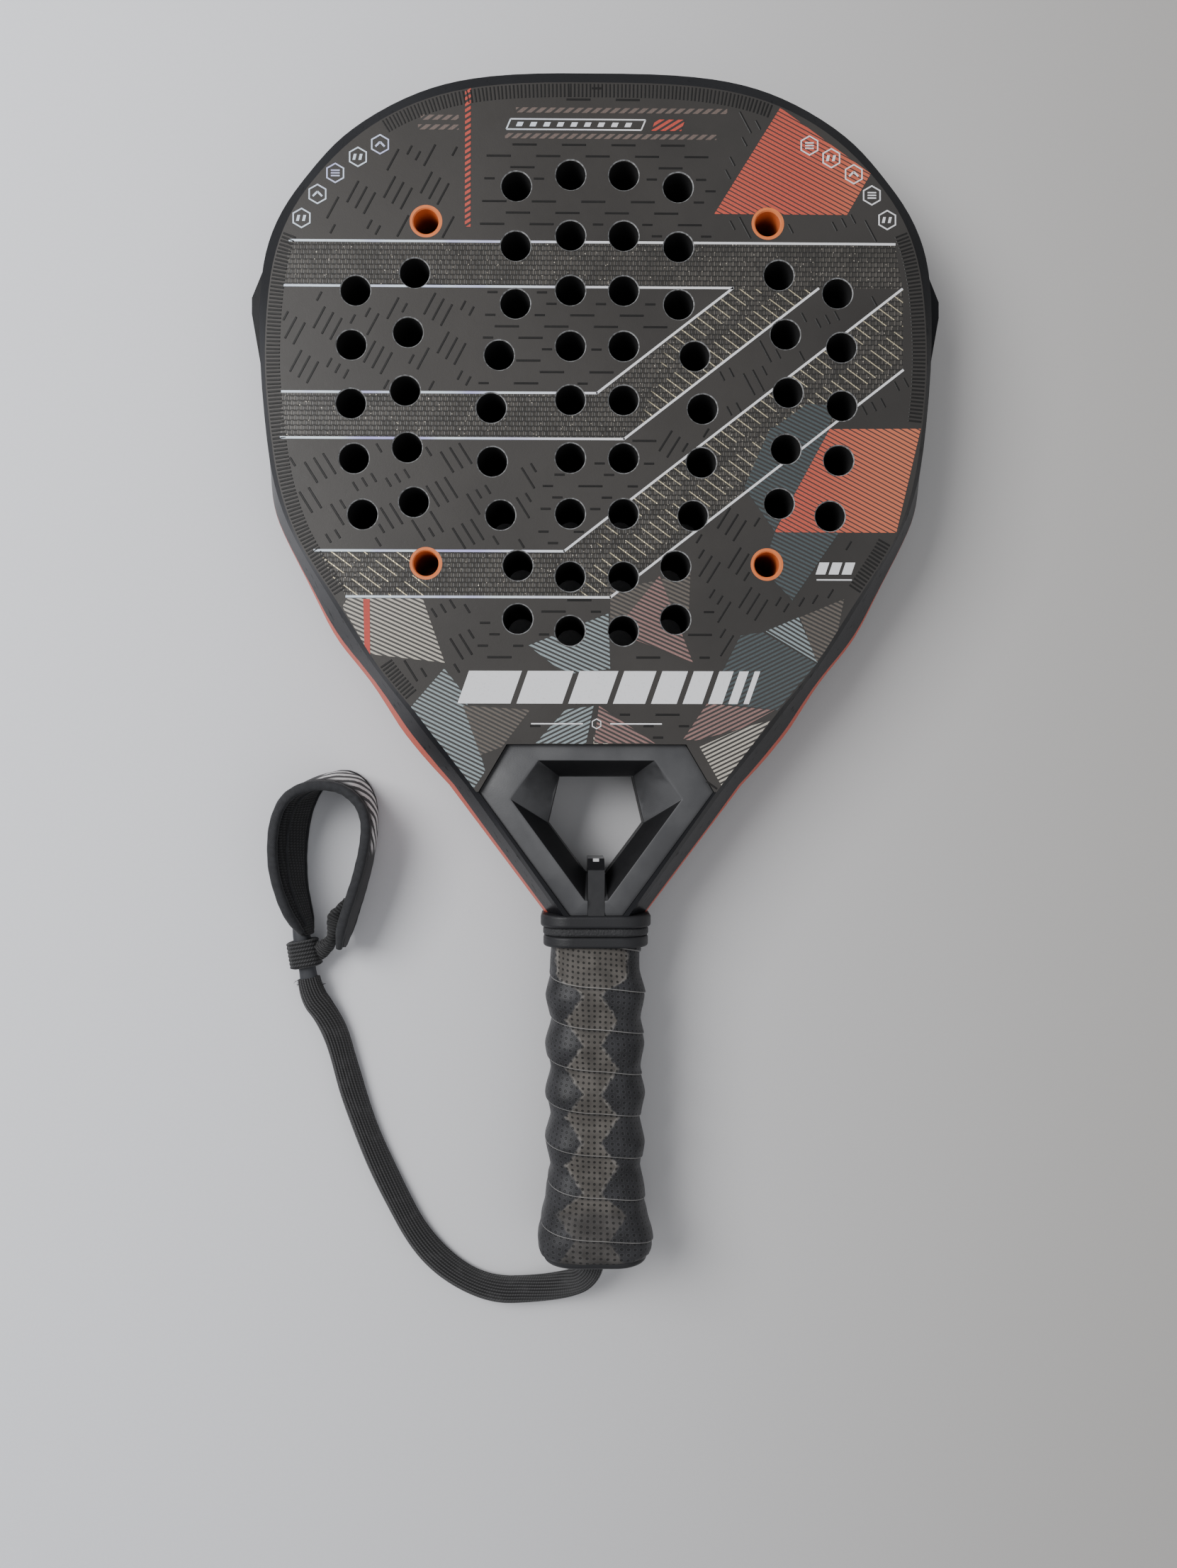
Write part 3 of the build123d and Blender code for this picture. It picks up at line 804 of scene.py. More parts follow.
def braid_paint():
    """Braided cord: lengthwise ribs crossed by slanted stitches."""
    tones = settings("racket_strap")
    paint = Paint("cord_braid", 0.72, Sheen_Weight=0.12, Sheen_Roughness=0.5, Specular_IOR_Level=0.3)
    u, v = paint.lay()
    yarn = 1.12
    rib, row = (u / yarn).part(), (u / yarn).steps()
    stitch = (v + row * 0.45 + rib * 0.5).part()
    crown = (rib * math.pi).wave()
    knot = (stitch * math.pi).wave()
    height = crown * 0.6 + knot * crown * 0.4
    # Painted shade and highlight: the braid is darker in the grooves between yarns and lighter on their crowns.
    base = paint.shades(height.ramp(0.3, 0.95), tones.braid, 0.35, 1.7)
    base = paint.mix(paint.noise(5, 3).ramp(0.5, 0.8) * 0.35, base, shade(tones.braid, 2.4))
    return paint.finish(base, 0.78 - 0.12 * knot, height, 0.42)


def webbing_paint(name, tone, across, along, depth):
    """Coarse webbing whose ridges run along the piece's own map."""
    paint = Paint(name, 0.74, Sheen_Weight=0.1, Sheen_Roughness=0.5, Specular_IOR_Level=0.3)
    u, v = paint.lay()
    row = (v / across).steps()
    ridge = ((v / across).part() * math.pi).wave()
    thread = (((u + v * 0.9 + row * along * 0.5) / along).part() * math.pi).wave()
    height = ridge * (0.45 + 0.55 * thread)
    # Painted shade and highlight: the webbing is darker between its ridges and lighter on their tops.
    base = paint.shades(height.ramp(0.15, 0.9), tone, 0.3, 1.9)
    return paint.finish(base, 0.8 - 0.12 * height, height, depth)


def cloth_paint(name, tone, pitch, depth, sheen):
    """Close woven cloth on the piece's own map."""
    paint = Paint(name, 0.78, Sheen_Weight=sheen, Sheen_Roughness=0.45, Specular_IOR_Level=0.3)
    u, v = paint.lay()
    warp = (u * (math.pi / pitch)).wave()
    weft = (v * (math.pi / pitch)).wave()
    height = warp * weft * 0.5 + 0.5
    fuzz = paint.noise(1.6, 4)
    # Painted highlight: the cloth is lighter where its threads rise.
    base = paint.mix(height * 0.35, paint.shades(fuzz.ramp(0.3, 0.7), tone, 0.78, 1.25), shade(tone, 1.6))
    return paint.finish(base, 0.74 + 0.1 * fuzz, height + 0.6 * fuzz, depth)


def cover_paint(tone):
    """Pad cloth with a run of pale slanted strokes printed on its outer side."""
    paint = cloth_paint("pad_fabric", tone, 0.55, 0.12, 0.1)
    u, v = paint.lay()
    cloth = paint.shader.inputs["Base Color"].links[0].from_socket
    ragged = paint.noise(1.8, 4)
    slant = (v + u * 0.7) / 5.2
    stroke = (slant.part() - 0.30 * ragged).ramp(0.42, 0.30) * v.ramp(70, 72) * v.ramp(113, 108)
    stroke = stroke * u.ramp(1, 2.5) * u.ramp(21, 17)
    paint.set("Base Color", paint.mix(stroke, Term(paint, cloth), (0.74, 0.74, 0.74)))
    return paint


# ---------------------------------------------------------------- stage

class RACKET_OT_stage(bpy.types.Operator):
    """Sets the floor, the soft lights and the camera"""
    bl_idname = "racket.stage"
    bl_label = "Stage"

    def execute(self, context):
        camera = linked("camera", bpy.data.cameras.new("camera"))
        camera.location = CAMERA_PLACE
        camera.rotation_euler = [math.radians(a) for a in CAMERA_TURN]
        camera.data.sensor_width = SENSOR
        camera.data.lens = SENSOR * PICTURE_SHAPE
        camera.data.clip_start = 0.01
        context.scene.camera = camera
        start()
        bpy.ops.mesh.primitive_plane_add(size=6, location=(0, 0, FLOOR_LEVEL * MM))
        bpy.ops.object.transform_apply(location=True)
        floor = context.object
        floor.name = "floor"
        paper = Paint("floor_paper", 0.75)
        x, = paper.place("X")
        # Painted light falloff: the paper is pale and bluish on the left, where the key light stands, and darker
        # and warmer on the right.
        painted_falloff = (x / 620 + 0.5).ramp(0, 1)
        base = paper.mix(painted_falloff, (0.860, 0.870, 0.915), (0.490, 0.474, 0.455))
        paper.set("Base Color", paper.mix(paper.noise(1.2, 3) * 0.08, base, (0.36, 0.36, 0.37)))
        paper.bump(paper.noise(0.8, 3), 0.02)
        floor.data.materials.append(paper.material)
        for name, place, size, power in (("key_light", (-0.85, 0.35, 1.05), 0.8, 19.0),
                                         ("fill_light", (0.8, -0.5, 1.6), 1.6, 4.0)):
            lamp = linked(name, bpy.data.lights.new(name, "AREA"))
            lamp.location = place
            lamp.data.energy = power
            lamp.data.size = size
            lamp.rotation_euler = (-lamp.location).to_track_quat("-Z", "Y").to_euler()
        world = bpy.data.worlds.new("soft_room")
        context.scene.world = world
        world.use_nodes = True
        glow = world.node_tree.nodes["Background"].inputs
        glow["Color"].default_value = (0.95, 0.965, 1.0, 1)
        glow["Strength"].default_value = 0.42
        return {"FINISHED"}


# ---------------------------------------------------------------- strap

CORD_ROUTE = [(0, -206.5, 19), (0, -220.5, 19), (-3, -230, 13.5), (-11.5, -235.8, 6.2), (-24, -238.4, 3.65),
              (-40, -238.8, 3.65), (-55.5, -231.8, 3.65), (-68.8, -218.8, 3.65), (-79, -200, 3.65),
              (-88, -181, 3.65), (-94.4, -163.5, 3.65), (-98.4, -149.5, 3.65), (-101.6, -138, 4.2),
              (-106, -129.2, 5.2), (-111, -122.33, 5.9), (-112.2, -115.5, 5.9)]
NECK_WAY = Vector((-0.173169, 0.984892, 0))
UP = Vector((0, 0, 1))


class RACKET_OT_cord(bpy.types.Operator):
    """Makes the braided wrist cord from the butt to the neck"""
    bl_idname = "racket.cord"
    bl_label = "Wrist cord"

    def execute(self, context):
        strap = settings("racket_strap")
        rings, sides = [], 56
        for t, point, way in stations(spline_points(CORD_ROUTE)):
            level = UP.cross(way)
            level = level.normalized() if level.length > 0.2 else Vector((1, 0, 0))
            rise = way.cross(level).normalized()
            tilt = math.radians(34 * min(1, max(0, (t - 0.12) / 0.15)) + 4 * math.sin(t * 23))
            if t > 0.84:
                tilt *= 1 - (t - 0.84) / 0.16 * 0.8
            wide = strap.cord_width / 2 * (0.78 + 0.22 * min(1, t / 0.12)) * (1 + 0.02 * math.sin(t * 47))
            if t > 0.93:
                wide *= 1 - 0.14 * (t - 0.93) / 0.07
            thick = strap.cord_thickness / 2 * (1.0 + 0.15 * max(0, 1 - t / 0.12))
            ring = []
            for j in range(sides):
                a = TURN * j / sides
                rib = 1 + 0.055 * abs(math.cos(7 * a))
                w, h = squared(a, wide * rib, thick * rib, 0.86)
                side = w * math.cos(tilt) - h * math.sin(tilt)
                up = w * math.sin(tilt) + h * math.cos(tilt)
                spot = Vector(point) + level * side + rise * up
                spot.z = max(spot.z, 0.08)
                ring.append(tuple(spot))
            rings.append(ring)
        settle(swept("wrist_braid", rings), braid_paint(), "racket", "cord_braid", "wrist_cord",
               angle=ROUND)
        return {"FINISHED"}


def ring_at(centre, way, up, wide, high, sides, power=1.0, lump=None):
    """A closed ring around a line: wide across it and high along up."""
    side = way.cross(up).normalized()
    rise = side.cross(way).normalized()
    ring = []
    for j in range(sides):
        a = TURN * j / sides
        grow = 1 + (lump(a) if lump else 0)
        across, above = squared(a, wide / 2 * grow, high / 2 * grow, power)
        ring.append(tuple(Vector(centre) + side * across + rise * above))
    return ring


class RACKET_OT_keeper(bpy.types.Operator):
    """Makes the neck, the sliding keeper, its twisted strip and the loose threads"""
    bl_idname = "racket.keeper"
    bl_label = "Neck and keeper"

    def execute(self, context):
        foot = Vector(CORD_ROUTE[-1])

        def on_neck(s, *shape):
            return ring_at(foot + NECK_WAY * s, NECK_WAY, UP, *shape)

        neck = swept("strap_neck", [on_neck(s, wide, high, 28, 0.9) for s, wide, high in (
            (-1.5, 6.6, 5.4), (0, 7.0, 5.6), (2, 6.6, 5.6), (4.5, 6.4, 5.8), (9.7, 6.8, 6.2), (15, 7.0, 6.4),
            (19, 6.4, 6.2), (22.4, 5.2, 5.2), (23.0, 3.6, 3.8))])
        modifier(neck, "SUBSURF", levels=1, render_levels=1)
        settle(neck, plain_paint("neck_rubber", (0.040, 0.042, 0.048), 0.55, 0.7, 0.06), "racket", "neck_rubber",
               "cord_neck", angle=ROUND)

        middle, half, straight, ridge_pitch, steps = 9.7, 5.4, 4.6, 1.55, 44
        rings = []
        for i in range(steps + 1):
            s = -half + 2 * half * i / steps
            end = max(0.0, abs(s) - straight) / (half - straight)
            ridge = 0.045 * abs(math.sin(math.pi * (s + half) / ridge_pitch))
            taper = 1 - 0.16 * end ** 2
            rings.append(on_neck(middle + s, 11.9 * taper, 11.0 * taper, 64, 0.78,
                                 lambda a, r=ridge: r + 0.012 * math.sin(9 * a + r * 30)))
        inner = [on_neck(middle + s, 7.6, 7.0, 64, 0.9) for s in (5.1, -5.1)]
        settle(swept("keeper_webbing", rings + inner + [rings[0]], capped=False),
               webbing_paint("keeper_webbing", (0.026, 0.026, 0.027), ridge_pitch, 1.15, 0.5),
               "keeper", "keeper_webbing", "keeper_band", angle=ROUND)

        line = spline_points([(-108.6, -105.6, 6.6), (-105.6, -103.2, 8.6), (-102.6, -100.4, 10.4),
                              (-101.4, -96.4, 11.6), (-100.6, -92.2, 12.2), (-98.2, -88.4, 11.6),
                              (-95.8, -85.2, 10.6)], 12)
        rings = []
        for t, point, way in stations(line):
            lead = Vector((-way.y, way.x, 0)).normalized()
            turned = Matrix.Rotation(4.6 * t, 3, way) @ lead
            gather = math.exp(-((t - 0.74) / 0.09) ** 2)
            wide = 6.8 - 1.4 * t + 1.4 * gather
            high = 4.2 + 1.6 * gather
            rings.append(ring_at(point, way, turned, high, wide, 32, 0.8,
                                 lambda a, s=t: 0.05 * math.sin(5 * a + 40 * s)))
        strip = settle(swept("keeper_twist", rings),
                       webbing_paint("strip_webbing", (0.018, 0.018, 0.019), 1.2, 1.0, 0.45),
                       None, "keeper_webbing", "keeper_strip", angle=ROUND)
        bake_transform(strip)

        random.seed(7)
        threads = []
        for i in range(16):
            side = -1 if i % 2 else 1
            base = foot + NECK_WAY * random.uniform(-2.4, -0.9) + Vector((side * random.uniform(3.0, 3.9), 0, 0.4))
            reach = random.uniform(1.2, 3.6)
            aim = Vector((side * random.uniform(0.6, 1.0), random.uniform(-0.7, 0.1), random.uniform(-0.3, 0.5)))
            mid = base + aim * reach * 0.5 + Vector((0, random.uniform(-0.5, 0.5), 0.2))
            threads.append(swept("thread", [
                ring_at(point, aim.normalized(), UP, width, width, 5)
                for point, width in ((base, 0.26), (mid, 0.22), (base + aim * reach, 0.12))]))
        settle(join(threads, "thread_ends"), plain_paint("thread_black", (0.020, 0.020, 0.022), 0.8, 0.5, 0.05),
               "racket", "cord_braid", angle=ROUND)
        return {"FINISHED"}


# Upper and lower edge of the wrist pad, as points along each, from the keeper round to the free tip.
PAD_TOP = [(-112.6, -98.6, 11.5), (-114.6, -94.5, 16.5), (-117.6, -88.0, 21.0), (-121.2, -76.0, 23.6),
           (-122.4, -64.2, 24.2), (-121.2, -53.0, 24.2), (-117.6, -45.2, 24.2), (-111.4, -41.0, 24.2),
           (-104.0, -39.9, 24.2), (-96.8, -41.0, 24.2), (-91.3, -44.6, 24.2), (-87.8, -49.6, 24.2),
           (-86.6, -56.4, 24.2), (-87.6, -64.6, 24.0), (-89.8, -74.0, 23.6), (-92.6, -82.4, 23.0),
           (-95.2, -90.0, 22.0), (-97.4, -97.2, 20.0), (-98.4, -102.6, 16.0)]
PAD_FOOT = [(-111.4, -98.8, 4.4), (-112.4, -94.0, 1.9), (-113.8, -88.0, 0.9), (-115.6, -78.0, 0.7),
            (-115.8, -66.0, 0.7), (-114.6, -54.0, 0.7), (-111.2, -43.4, 0.7), (-106.2, -37.2, 0.7),
            (-100.4, -35.2, 0.7), (-94.6, -36.4, 0.7), (-90.2, -40.8, 0.7), (-87.8, -47.0, 0.7),
            (-87.6, -55.0, 0.7), (-88.4, -64.6, 0.7), (-90.4, -74.6, 0.8), (-92.8, -83.2, 1.0),
            (-95.2, -91.2, 1.6), (-97.2, -98.2, 3.0), (-98.3, -102.8, 8.0)]


def pad_lines():
    """The pad's two edges, point for point, and the outward direction at each."""
    top = spline_points(PAD_TOP, 8)
    foot = spline_points(PAD_FOOT, 8)
    middle = [(Vector(high) + Vector(low)) / 2 for high, low in zip(top, foot)]
    return top, foot, [(Vector(high) - Vector(low)).cross(way).normalized()
                       for way, low, high in zip(directions(middle), foot, top)]


def pad_skin(name, low, high, inner, outer, bulge, share, ripples=0.0):
    """One closed layer of the pad between two depths, crowned by bulge at its middle."""
    top, foot, outward = pad_lines()
    rings, rows = [], 14
    last = len(top) - 1
    for i, (a, b, out) in enumerate(zip(foot, top, outward)):
        t = i / last
        a, b = Vector(a), Vector(b)
        swell = bulge * min(1, 5 * t, 5 * (1 - t)) ** 0.5
        crease = ripples * (0.5 * math.sin(t * 61) + 0.5 * math.sin(t * 97 + 1))
        line = [a.lerp(b, low + (high - low) * j / rows) for j in range(rows + 1)]
        ring = [tuple(spot + out * (outer + (swell + crease) * math.sin(math.pi * j / rows) ** share))
                for j, spot in enumerate(line)]
        rings.append(ring + [tuple(spot + out * inner) for spot in reversed(line)])
    piece = swept(name, rings)
    modifier(piece, "SUBSURF", levels=1, render_levels=1)
    return piece


class RACKET_OT_pad(bpy.types.Operator):
    """Makes the padded wrist loop: cover, ribbed lining and piped edges"""
    bl_idname = "racket.pad"
    bl_label = "Wrist pad"

    def execute(self, context):
        strap = settings("racket_strap")
        cover = settle(pad_skin("pad_cover", 0.05, 0.95, 0.1, 1.5, 0.9, 0.6, 0.18), cover_paint(strap.cover),
                       "racket", "pad_fabric", "wrist_pad", angle=ROUND)
        settle(pad_skin("pad_inside", 0.06, 0.94, -0.1, -1.5, -0.7, 0.6, 0.25),
               webbing_paint("lining_fabric", (0.011, 0.011, 0.012), 1.1, 2.4, 0.3),
               "racket", "lining_fabric", "pad_lining", angle=ROUND)

        top, foot, outward = pad_lines()
        tapes = []
        for edge, wide, high in ((top, 3.9, 3.4), (foot, 3.4, 2.6)):
            rings = []
            for (t, point, way), out in zip(stations(edge), outward):
                taper = min(1, 0.55 + 9 * t, 0.62 + 9 * (1 - t))
                pucker = 1 + 0.025 * math.sin(t * 190) + 0.02 * math.sin(t * 83)
                spot = Vector(point)
                spot.z = max(spot.z, high / 2 * taper * pucker + 0.05)
                lift = way.cross(out).normalized()
                rings.append(ring_at(spot, way, lift, wide * taper * pucker, high * taper * pucker, 20, 0.85))
            tapes.append(swept("tape", rings[2:]))
        welt = [Vector(b).lerp(Vector(a), 0.30) - out * 2.0 for a, b, out in zip(foot, top, outward)]
        tapes.append(swept("tape", [ring_at(point, way, UP, 1.3, 1.5, 10)
                                    for point, way in list(zip(welt, directions(welt)))[4:64]]))
        settle(join(tapes, "pad_piping"), cloth_paint("binding_tape", strap.piping, 0.42, 0.08, 0.12),
               "racket", "binding_tape", "pad_binding", angle=ROUND)
        return {"FINISHED"}


class RACKET_OT_declare(bpy.types.Operator):
    bl_idname = "racket.declare"
    bl_label = "Cord facts"

    def execute(self, context):
        path = [tuple(c * MM for c in p) for p in spline_points(CORD_ROUTE)]
        return {"FINISHED"}


# ---------------------------------------------------------------- body of the racket

class RACKET_OT_shell(bpy.types.Operator):
    """Finishes the frame, the faces, the foam and the sleeves"""
    bl_idname = "racket.shell"
    bl_label = "Frame and faces"

    def execute(self, context):
        coat(frame_paint(), "frame_tube")
        coat(laminate_paint(), "front_face", "rear_face")
        coat(plain_paint("core_foam", (0.0095, 0.0095, 0.010), 0.9, 0.9, 0.12), "foam_core")
        coat(sleeve_paint(),
             "sleeve_upper_right", "sleeve_upper_left", "sleeve_lower_right", "sleeve_lower_left")
        coat(plain_paint("handle_foam", (0.02, 0.02, 0.021), 0.85, 0.8, 0.1), "handle_core", "grip_sleeve")
        coat(plain_paint("anchor_plastic", (0.02, 0.02, 0.022), 0.5, 0.8, 0.03), "cord_anchor")
        coat(plain_paint("tube_laminate", (0.02, 0.02, 0.022), 0.45, 0.8, 0.03), "handle_tube")
        return {"FINISHED"}


class RACKET_OT_throat(bpy.types.Operator):
    """Rounds the edges of the throat mouldings and finishes the rib"""
    bl_idname = "racket.throat"
    bl_label = "Throat"

    def execute(self, context):
        paint = throat_paint()
        for side in ("front", "rear"):
            node = "throat_" + side
            piece = copy_of(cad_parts[node], "throat_cover_" + side)
            with edit(piece):
                bpy.ops.mesh.remove_doubles(threshold=MERGE)
                bpy.ops.mesh.dissolve_limited(angle_limit=math.radians(4))
            modifier(piece, "BEVEL", width=1.5 * MM, segments=4, limit_method="ANGLE",
                     angle_limit=math.radians(20), harden_normals=False)
            modifier(piece, "TRIANGULATE")
            settle(piece, paint, "racket", "throat_plastic", node, angle=30)
        rib = Paint("rib_gloss", 0.3, Coat_Weight=0.4, Coat_Roughness=0.1)
        x, y, z = rib.place("XYZ")
        tip = y.ramp(-68.6, -68.3) * abs(x).ramp(1.2, 1.0) * (z > 30)
        base = rib.mix(rib.noise(4, 3), (0.010, 0.010, 0.011), (0.018, 0.018, 0.020))
        rib.finish(rib.mix(tip, base, (0.75, 0.75, 0.76)), 0.26 + 0.16 * rib.noise(2, 3), rib.noise(0.6, 3), 0.02)
        coat(rib, "throat_rib")
        return {"FINISHED"}


class RACKET_OT_face_relief(bpy.types.Operator):
    """Raises the ribbed border and the fields of dashes on both faces"""
    bl_idname = "racket.face_relief"
    bl_label = "Face relief"

    def execute(self, context):
        face = settings("racket_face")
        plate = plate_top()
        edge = plate_edge(plate)
        # Painted shade: the raised ribs and dashes are much darker than the laminate so that they read as shadowed
        # grooves.
        paint = plain_paint("relief_painted_shade", (0.0095, 0.0090, 0.0085), 0.42, 0.5, 0.03)
        fields = [outline for camo in CAMO.values() for _, outline in camo[1]] + WARM_FIELDS
        inward = math.copysign(math.pi / 2, spin_of(edge))
        places = []
        for x, y, way in evenly(edge, face.border_pitch):
            turn = way + inward
            bore_shade = 0.5 + face.border_width / 2
            px, py = x + math.cos(turn) * bore_shade, y + math.sin(turn) * bore_shade
            by_throat = y < -24 and abs(x) < 44.5
            if not (by_throat or near_badge(px, py, 6.4)
                    or any(inside(px, py, outline, 2.6) for outline in fields)):
                places.append((px, py, turn, 1))
        on_both_faces(stamped(raised_bar(face.border_width, 0.72, 0.12), "border_ribs", places), paint)

        marks = fields + BANDS + WORD_BARS + [SIGNATURE_FIELD, TITLE_FIELD, STRIPE_FIELD]
        step, row, fork, short = 18.2, 4.2, 2.6, 0.42
        middle, rows, columns = 95, 75, 36
        places = []
        for zone, degrees in (("upper_left", 62), ("upper_right", -62), ("lower_left", -58),
                              ("lower_right", 58), ("centre", 0)):
            turn = math.radians(degrees)
            c, s = math.cos(turn), math.sin(turn)
            for j in range(-rows, rows + 1):
                for i in range(-columns, columns + 1):
                    shift = (j // 3 % 2) * step / 2 if degrees else (j % 2) * step / 2
                    u, v = i * step + shift + 0.4 * j, j * row * (0.88 if degrees else 1)
                    x, y = u * c - v * s, middle + u * s + v * c
                    for off, long in ((0, 1), (fork, short), (-fork, short)):
                        px, py, half = x + off * c, y + off * s, face.dash_length / 2 * long
                        ends = [(px + k * c * half, py + k * s * half) for k in (-1, 0, 1)]
                        if all(clear(*spot, zone, edge, marks) for spot in ends):
                            places.append((px, py, turn, long))
                            if long == 1:
                                break
        bar_form = raised_bar(face.dash_length, face.dash_width, face.dash_height)
        on_both_faces(stamped(bar_form, "dashes", places), paint)
        bpy.data.objects.remove(plate)
        return {"FINISHED"}


def clear(x, y, zone, edge, marks):
    """Whether a point may be covered by a dash of a field."""
    if zone_of(x, y) != zone or near_badge(x, y, 5.6) or not on_plate(x, y, edge, 6.4):
        return False
    if min(math.hypot(x - hx, y - hy) for hx, hy in HOLES) < HOLE_RADIUS + 1.0:
        return False
    return not any(inside(x, y, outline, 0.8) for outline in marks)


def near_badge(x, y, reach):
    return any(math.hypot(x - bx, y - by) < reach for bx, by in BADGES)


def zone_of(x, y):
    """Which field of dashes a point of the face lies in."""
    if abs(x) < 44 and (y > 100 or y < 26):
        return "centre"
    if abs(x) < 22:
        return "centre"
    return ("upper_" if y > 96 else "lower_") + ("left" if x < 0 else "right")


def on_plate(x, y, edge, margin):
    """Whether a point lies on the plate, a margin in from its edge."""
    crossings = False
    near = margin * margin
    for (x0, y0), (x1, y1) in sides_of(edge):
        if (x - x0) ** 2 + (y - y0) ** 2 < near:
            return False
        if (y0 > y) != (y1 > y) and x < (x1 - x0) * (y - y0) / (y1 - y0) + x0:
            crossings = not crossings
    return crossings


WORD_BARS = [leaning(x, -10.2, wide, 12.0, 4.2) for x, wide in (
    (-51.0, 19.4), (-29.4, 16.8), (-10.4, 14.2), (6.0, 11.8), (20.0, 9.4), (31.6, 7.2), (41.0, 5.2),
    (48.4, 3.4), (54.0, 2.0))]
STRIPE_FIELD = [(-49.5, 164.0), (-45.8, 164.0), (-45.8, 218.0), (-49.5, 218.0)]
TITLE_FIELD = [(-66, 197), (50, 197), (50, 210.6), (-66, 210.6)]
SIGNATURE_FIELD = [(79, 33), (97, 33), (97, 45), (79, 45)]


def hexagon(x, y, radius, line):
    """The six strokes of a standing hexagon."""
    outer, inner = [[(x + r * math.sin(TURN * k / 6), y + r * math.cos(TURN * k / 6)) for k in range(6)]
                    for r in (radius, radius - line)]
    return [[*a, b1, b0] for a, (b0, b1) in zip(sides_of(outer), sides_of(inner))]


class RACKET_OT_face_print(bpy.types.Operator):
    """Prints the woven bands, pinstripes, coloured fields, badges and bars on both faces"""
    bl_idname = "racket.face_print"
    bl_label = "Face print"

    def execute(self, context):
        face = settings("racket_face")
        plate = plate_top()
        lines = []
        for stripe in PINSTRIPES:
            for (x0, y0), (x1, y1) in zip(stripe, stripe[1:]):
                run = math.hypot(x1 - x0, y1 - y0)
                over = 0.3 * face.pinstripe / run
                lines.append(bar(x0 - (x1 - x0) * over, y0 - (y1 - y0) * over,
                                 x1 + (x1 - x0) * over, y1 + (y1 - y0) * over, face.pinstripe))
        for x, y in BADGES:
            lines += hexagon(x, y, 3.8, 0.58)
            kind = BADGES.index((x, y)) % 3
            if kind == 0:
                lines += [leaning(x - 2.0, y - 1.1, 1.0, 2.2, 0.5), leaning(x + 0.2, y - 1.1, 1.0, 2.2, 0.5)]
            elif kind == 1:
                lines += [bar(x - 1.7, y - 0.8, x, y + 0.9, 0.7), bar(x, y + 0.9, x + 1.7, y - 0.8, 0.7)]
            else:
                lines += [bar(x - 1.6, y + h, x + 1.6, y + h, 0.5) for h in (-1.0, 0.0, 1.0)]
        lines += WORD_BARS
        lines += [bar(-24, -17.6, -5, -17.6, 0.5), bar(5, -17.6, 24, -17.6, 0.5)]
        lines += hexagon(0, -17.6, 2.0, 0.4)
        lines += [bar(-33.5, 201.4, 16.2, 201.4, 0.5), bar(-31.9, 205.2, 17.8, 205.2, 0.5),
                  bar(-33.5, 201.4, -31.9, 205.2, 0.5), bar(16.2, 201.4, 17.8, 205.2, 0.5)]
        lines += [leaning(x, 202.5, 2.2, 1.6, 0.7) for x in range(-30, 14, 5)]
        lines += [leaning(x, 37.6, 3.6, 4.4, 1.5) for x in (80.6, 85.4, 90.2)] + [bar(81, 35.6, 94, 35.6, 0.5)]
        bars = [[(-48.7, 165.2), (-46.6, 165.2), (-46.6, 217.0), (-48.7, 217.0)],
                [(20.0, 201.2), (31.0, 201.2), (32.4, 205.4), (21.4, 205.4)]]
        strips = [bar(-30, 208.6, 48, 208.6, 1.9), bar(-34, 199.0, 44, 199.0, 1.9),
                  bar(-65, 205.6, -51, 205.6, 1.9), bar(-66, 202.0, -51, 202.0, 1.9)]
        for name, outlines, lift, paint in (
                ("woven_bands", BANDS, 0.03, weave_paint()),
                ("white_print", lines, 0.10, white_paint()),
                ("warm_fields", WARM_FIELDS, 0.035,
                 striped_paint("print_coral", face.warm, -28, 1.5, 0.72, (0.60, 0.155, 0.072))),
                ("coral_bars", bars, 0.09, striped_paint("print_coral_bar", (0.55, 0.075, 0.05), 32, 1.85, 0.55)),
                ("coral_tab", [[(-85.6, 28.0), (-83.2, 28.0), (-83.0, 6.9), (-85.0, 6.9)]], 0.11,
                 plain_paint("print_coral_tab", (0.50, 0.065, 0.05), 0.42, 0.5, 0.02)),
                ("taupe_strips", strips, 0.03, striped_paint("print_taupe", (0.15, 0.11, 0.095), 38, 2.1, 0.6))):
            on_both_faces(printed(plate, name, outlines, lift), paint)
        lift, lift_step = 0.03, 0.004
        for name, (tone, patches) in CAMO.items():
            for turn in sorted({turn for turn, _ in patches}):
                lift += lift_step
                share = [outline for way, outline in patches if way == turn]
                label = f"{name}_field_{'rise' if turn > 0 else 'fall'}{abs(turn)}"
                on_both_faces(printed(plate, label, share, lift),
                              striped_paint("print_" + label, tone, turn, 1.45, 0.52))
        bpy.data.objects.remove(plate)
        return {"FINISHED"}


# ---------------------------------------------------------------- handle

GRIP_FORM = [(-100.3, 34.2, 32.2), (-104.0, 34.2, 32.2), (-110.0, 34.2, 32.2), (-119.2, 38.0, 35.2),
             (-128.4, 34.2, 32.2), (-137.6, 38.0, 35.2), (-146.8, 34.2, 32.2), (-156.0, 38.0, 35.2),
             (-165.2, 34.2, 32.2), (-174.4, 38.0, 35.2), (-183.6, 34.2, 32.2), (-192.8, 37.6, 34.8),
             (-197.8, 38.2, 34.6), (-202.8, 40.4, 36.0), (-210.2, 43.8, 37.2), (-213.8, 43.4, 37.0),
             (-215.5, 42.0, 36.2), (-216.6, 39.0, 33.4), (-217.0, 35.0, 29.4)]


def grip_size(y):
    """Width and depth of the wrapped handle at a place along it, in millimetres."""
    for (y0, w0, h0), (y1, w1, h1) in zip(GRIP_FORM, GRIP_FORM[1:]):
        if y >= y1:
            t = (y0 - y) / (y0 - y1)
            t = 0.55 * t + 0.45 * t * t * (3 - 2 * t)
            return w0 + (w1 - w0) * t, h0 + (h1 - h0) * t
    return GRIP_FORM[-1][1:]


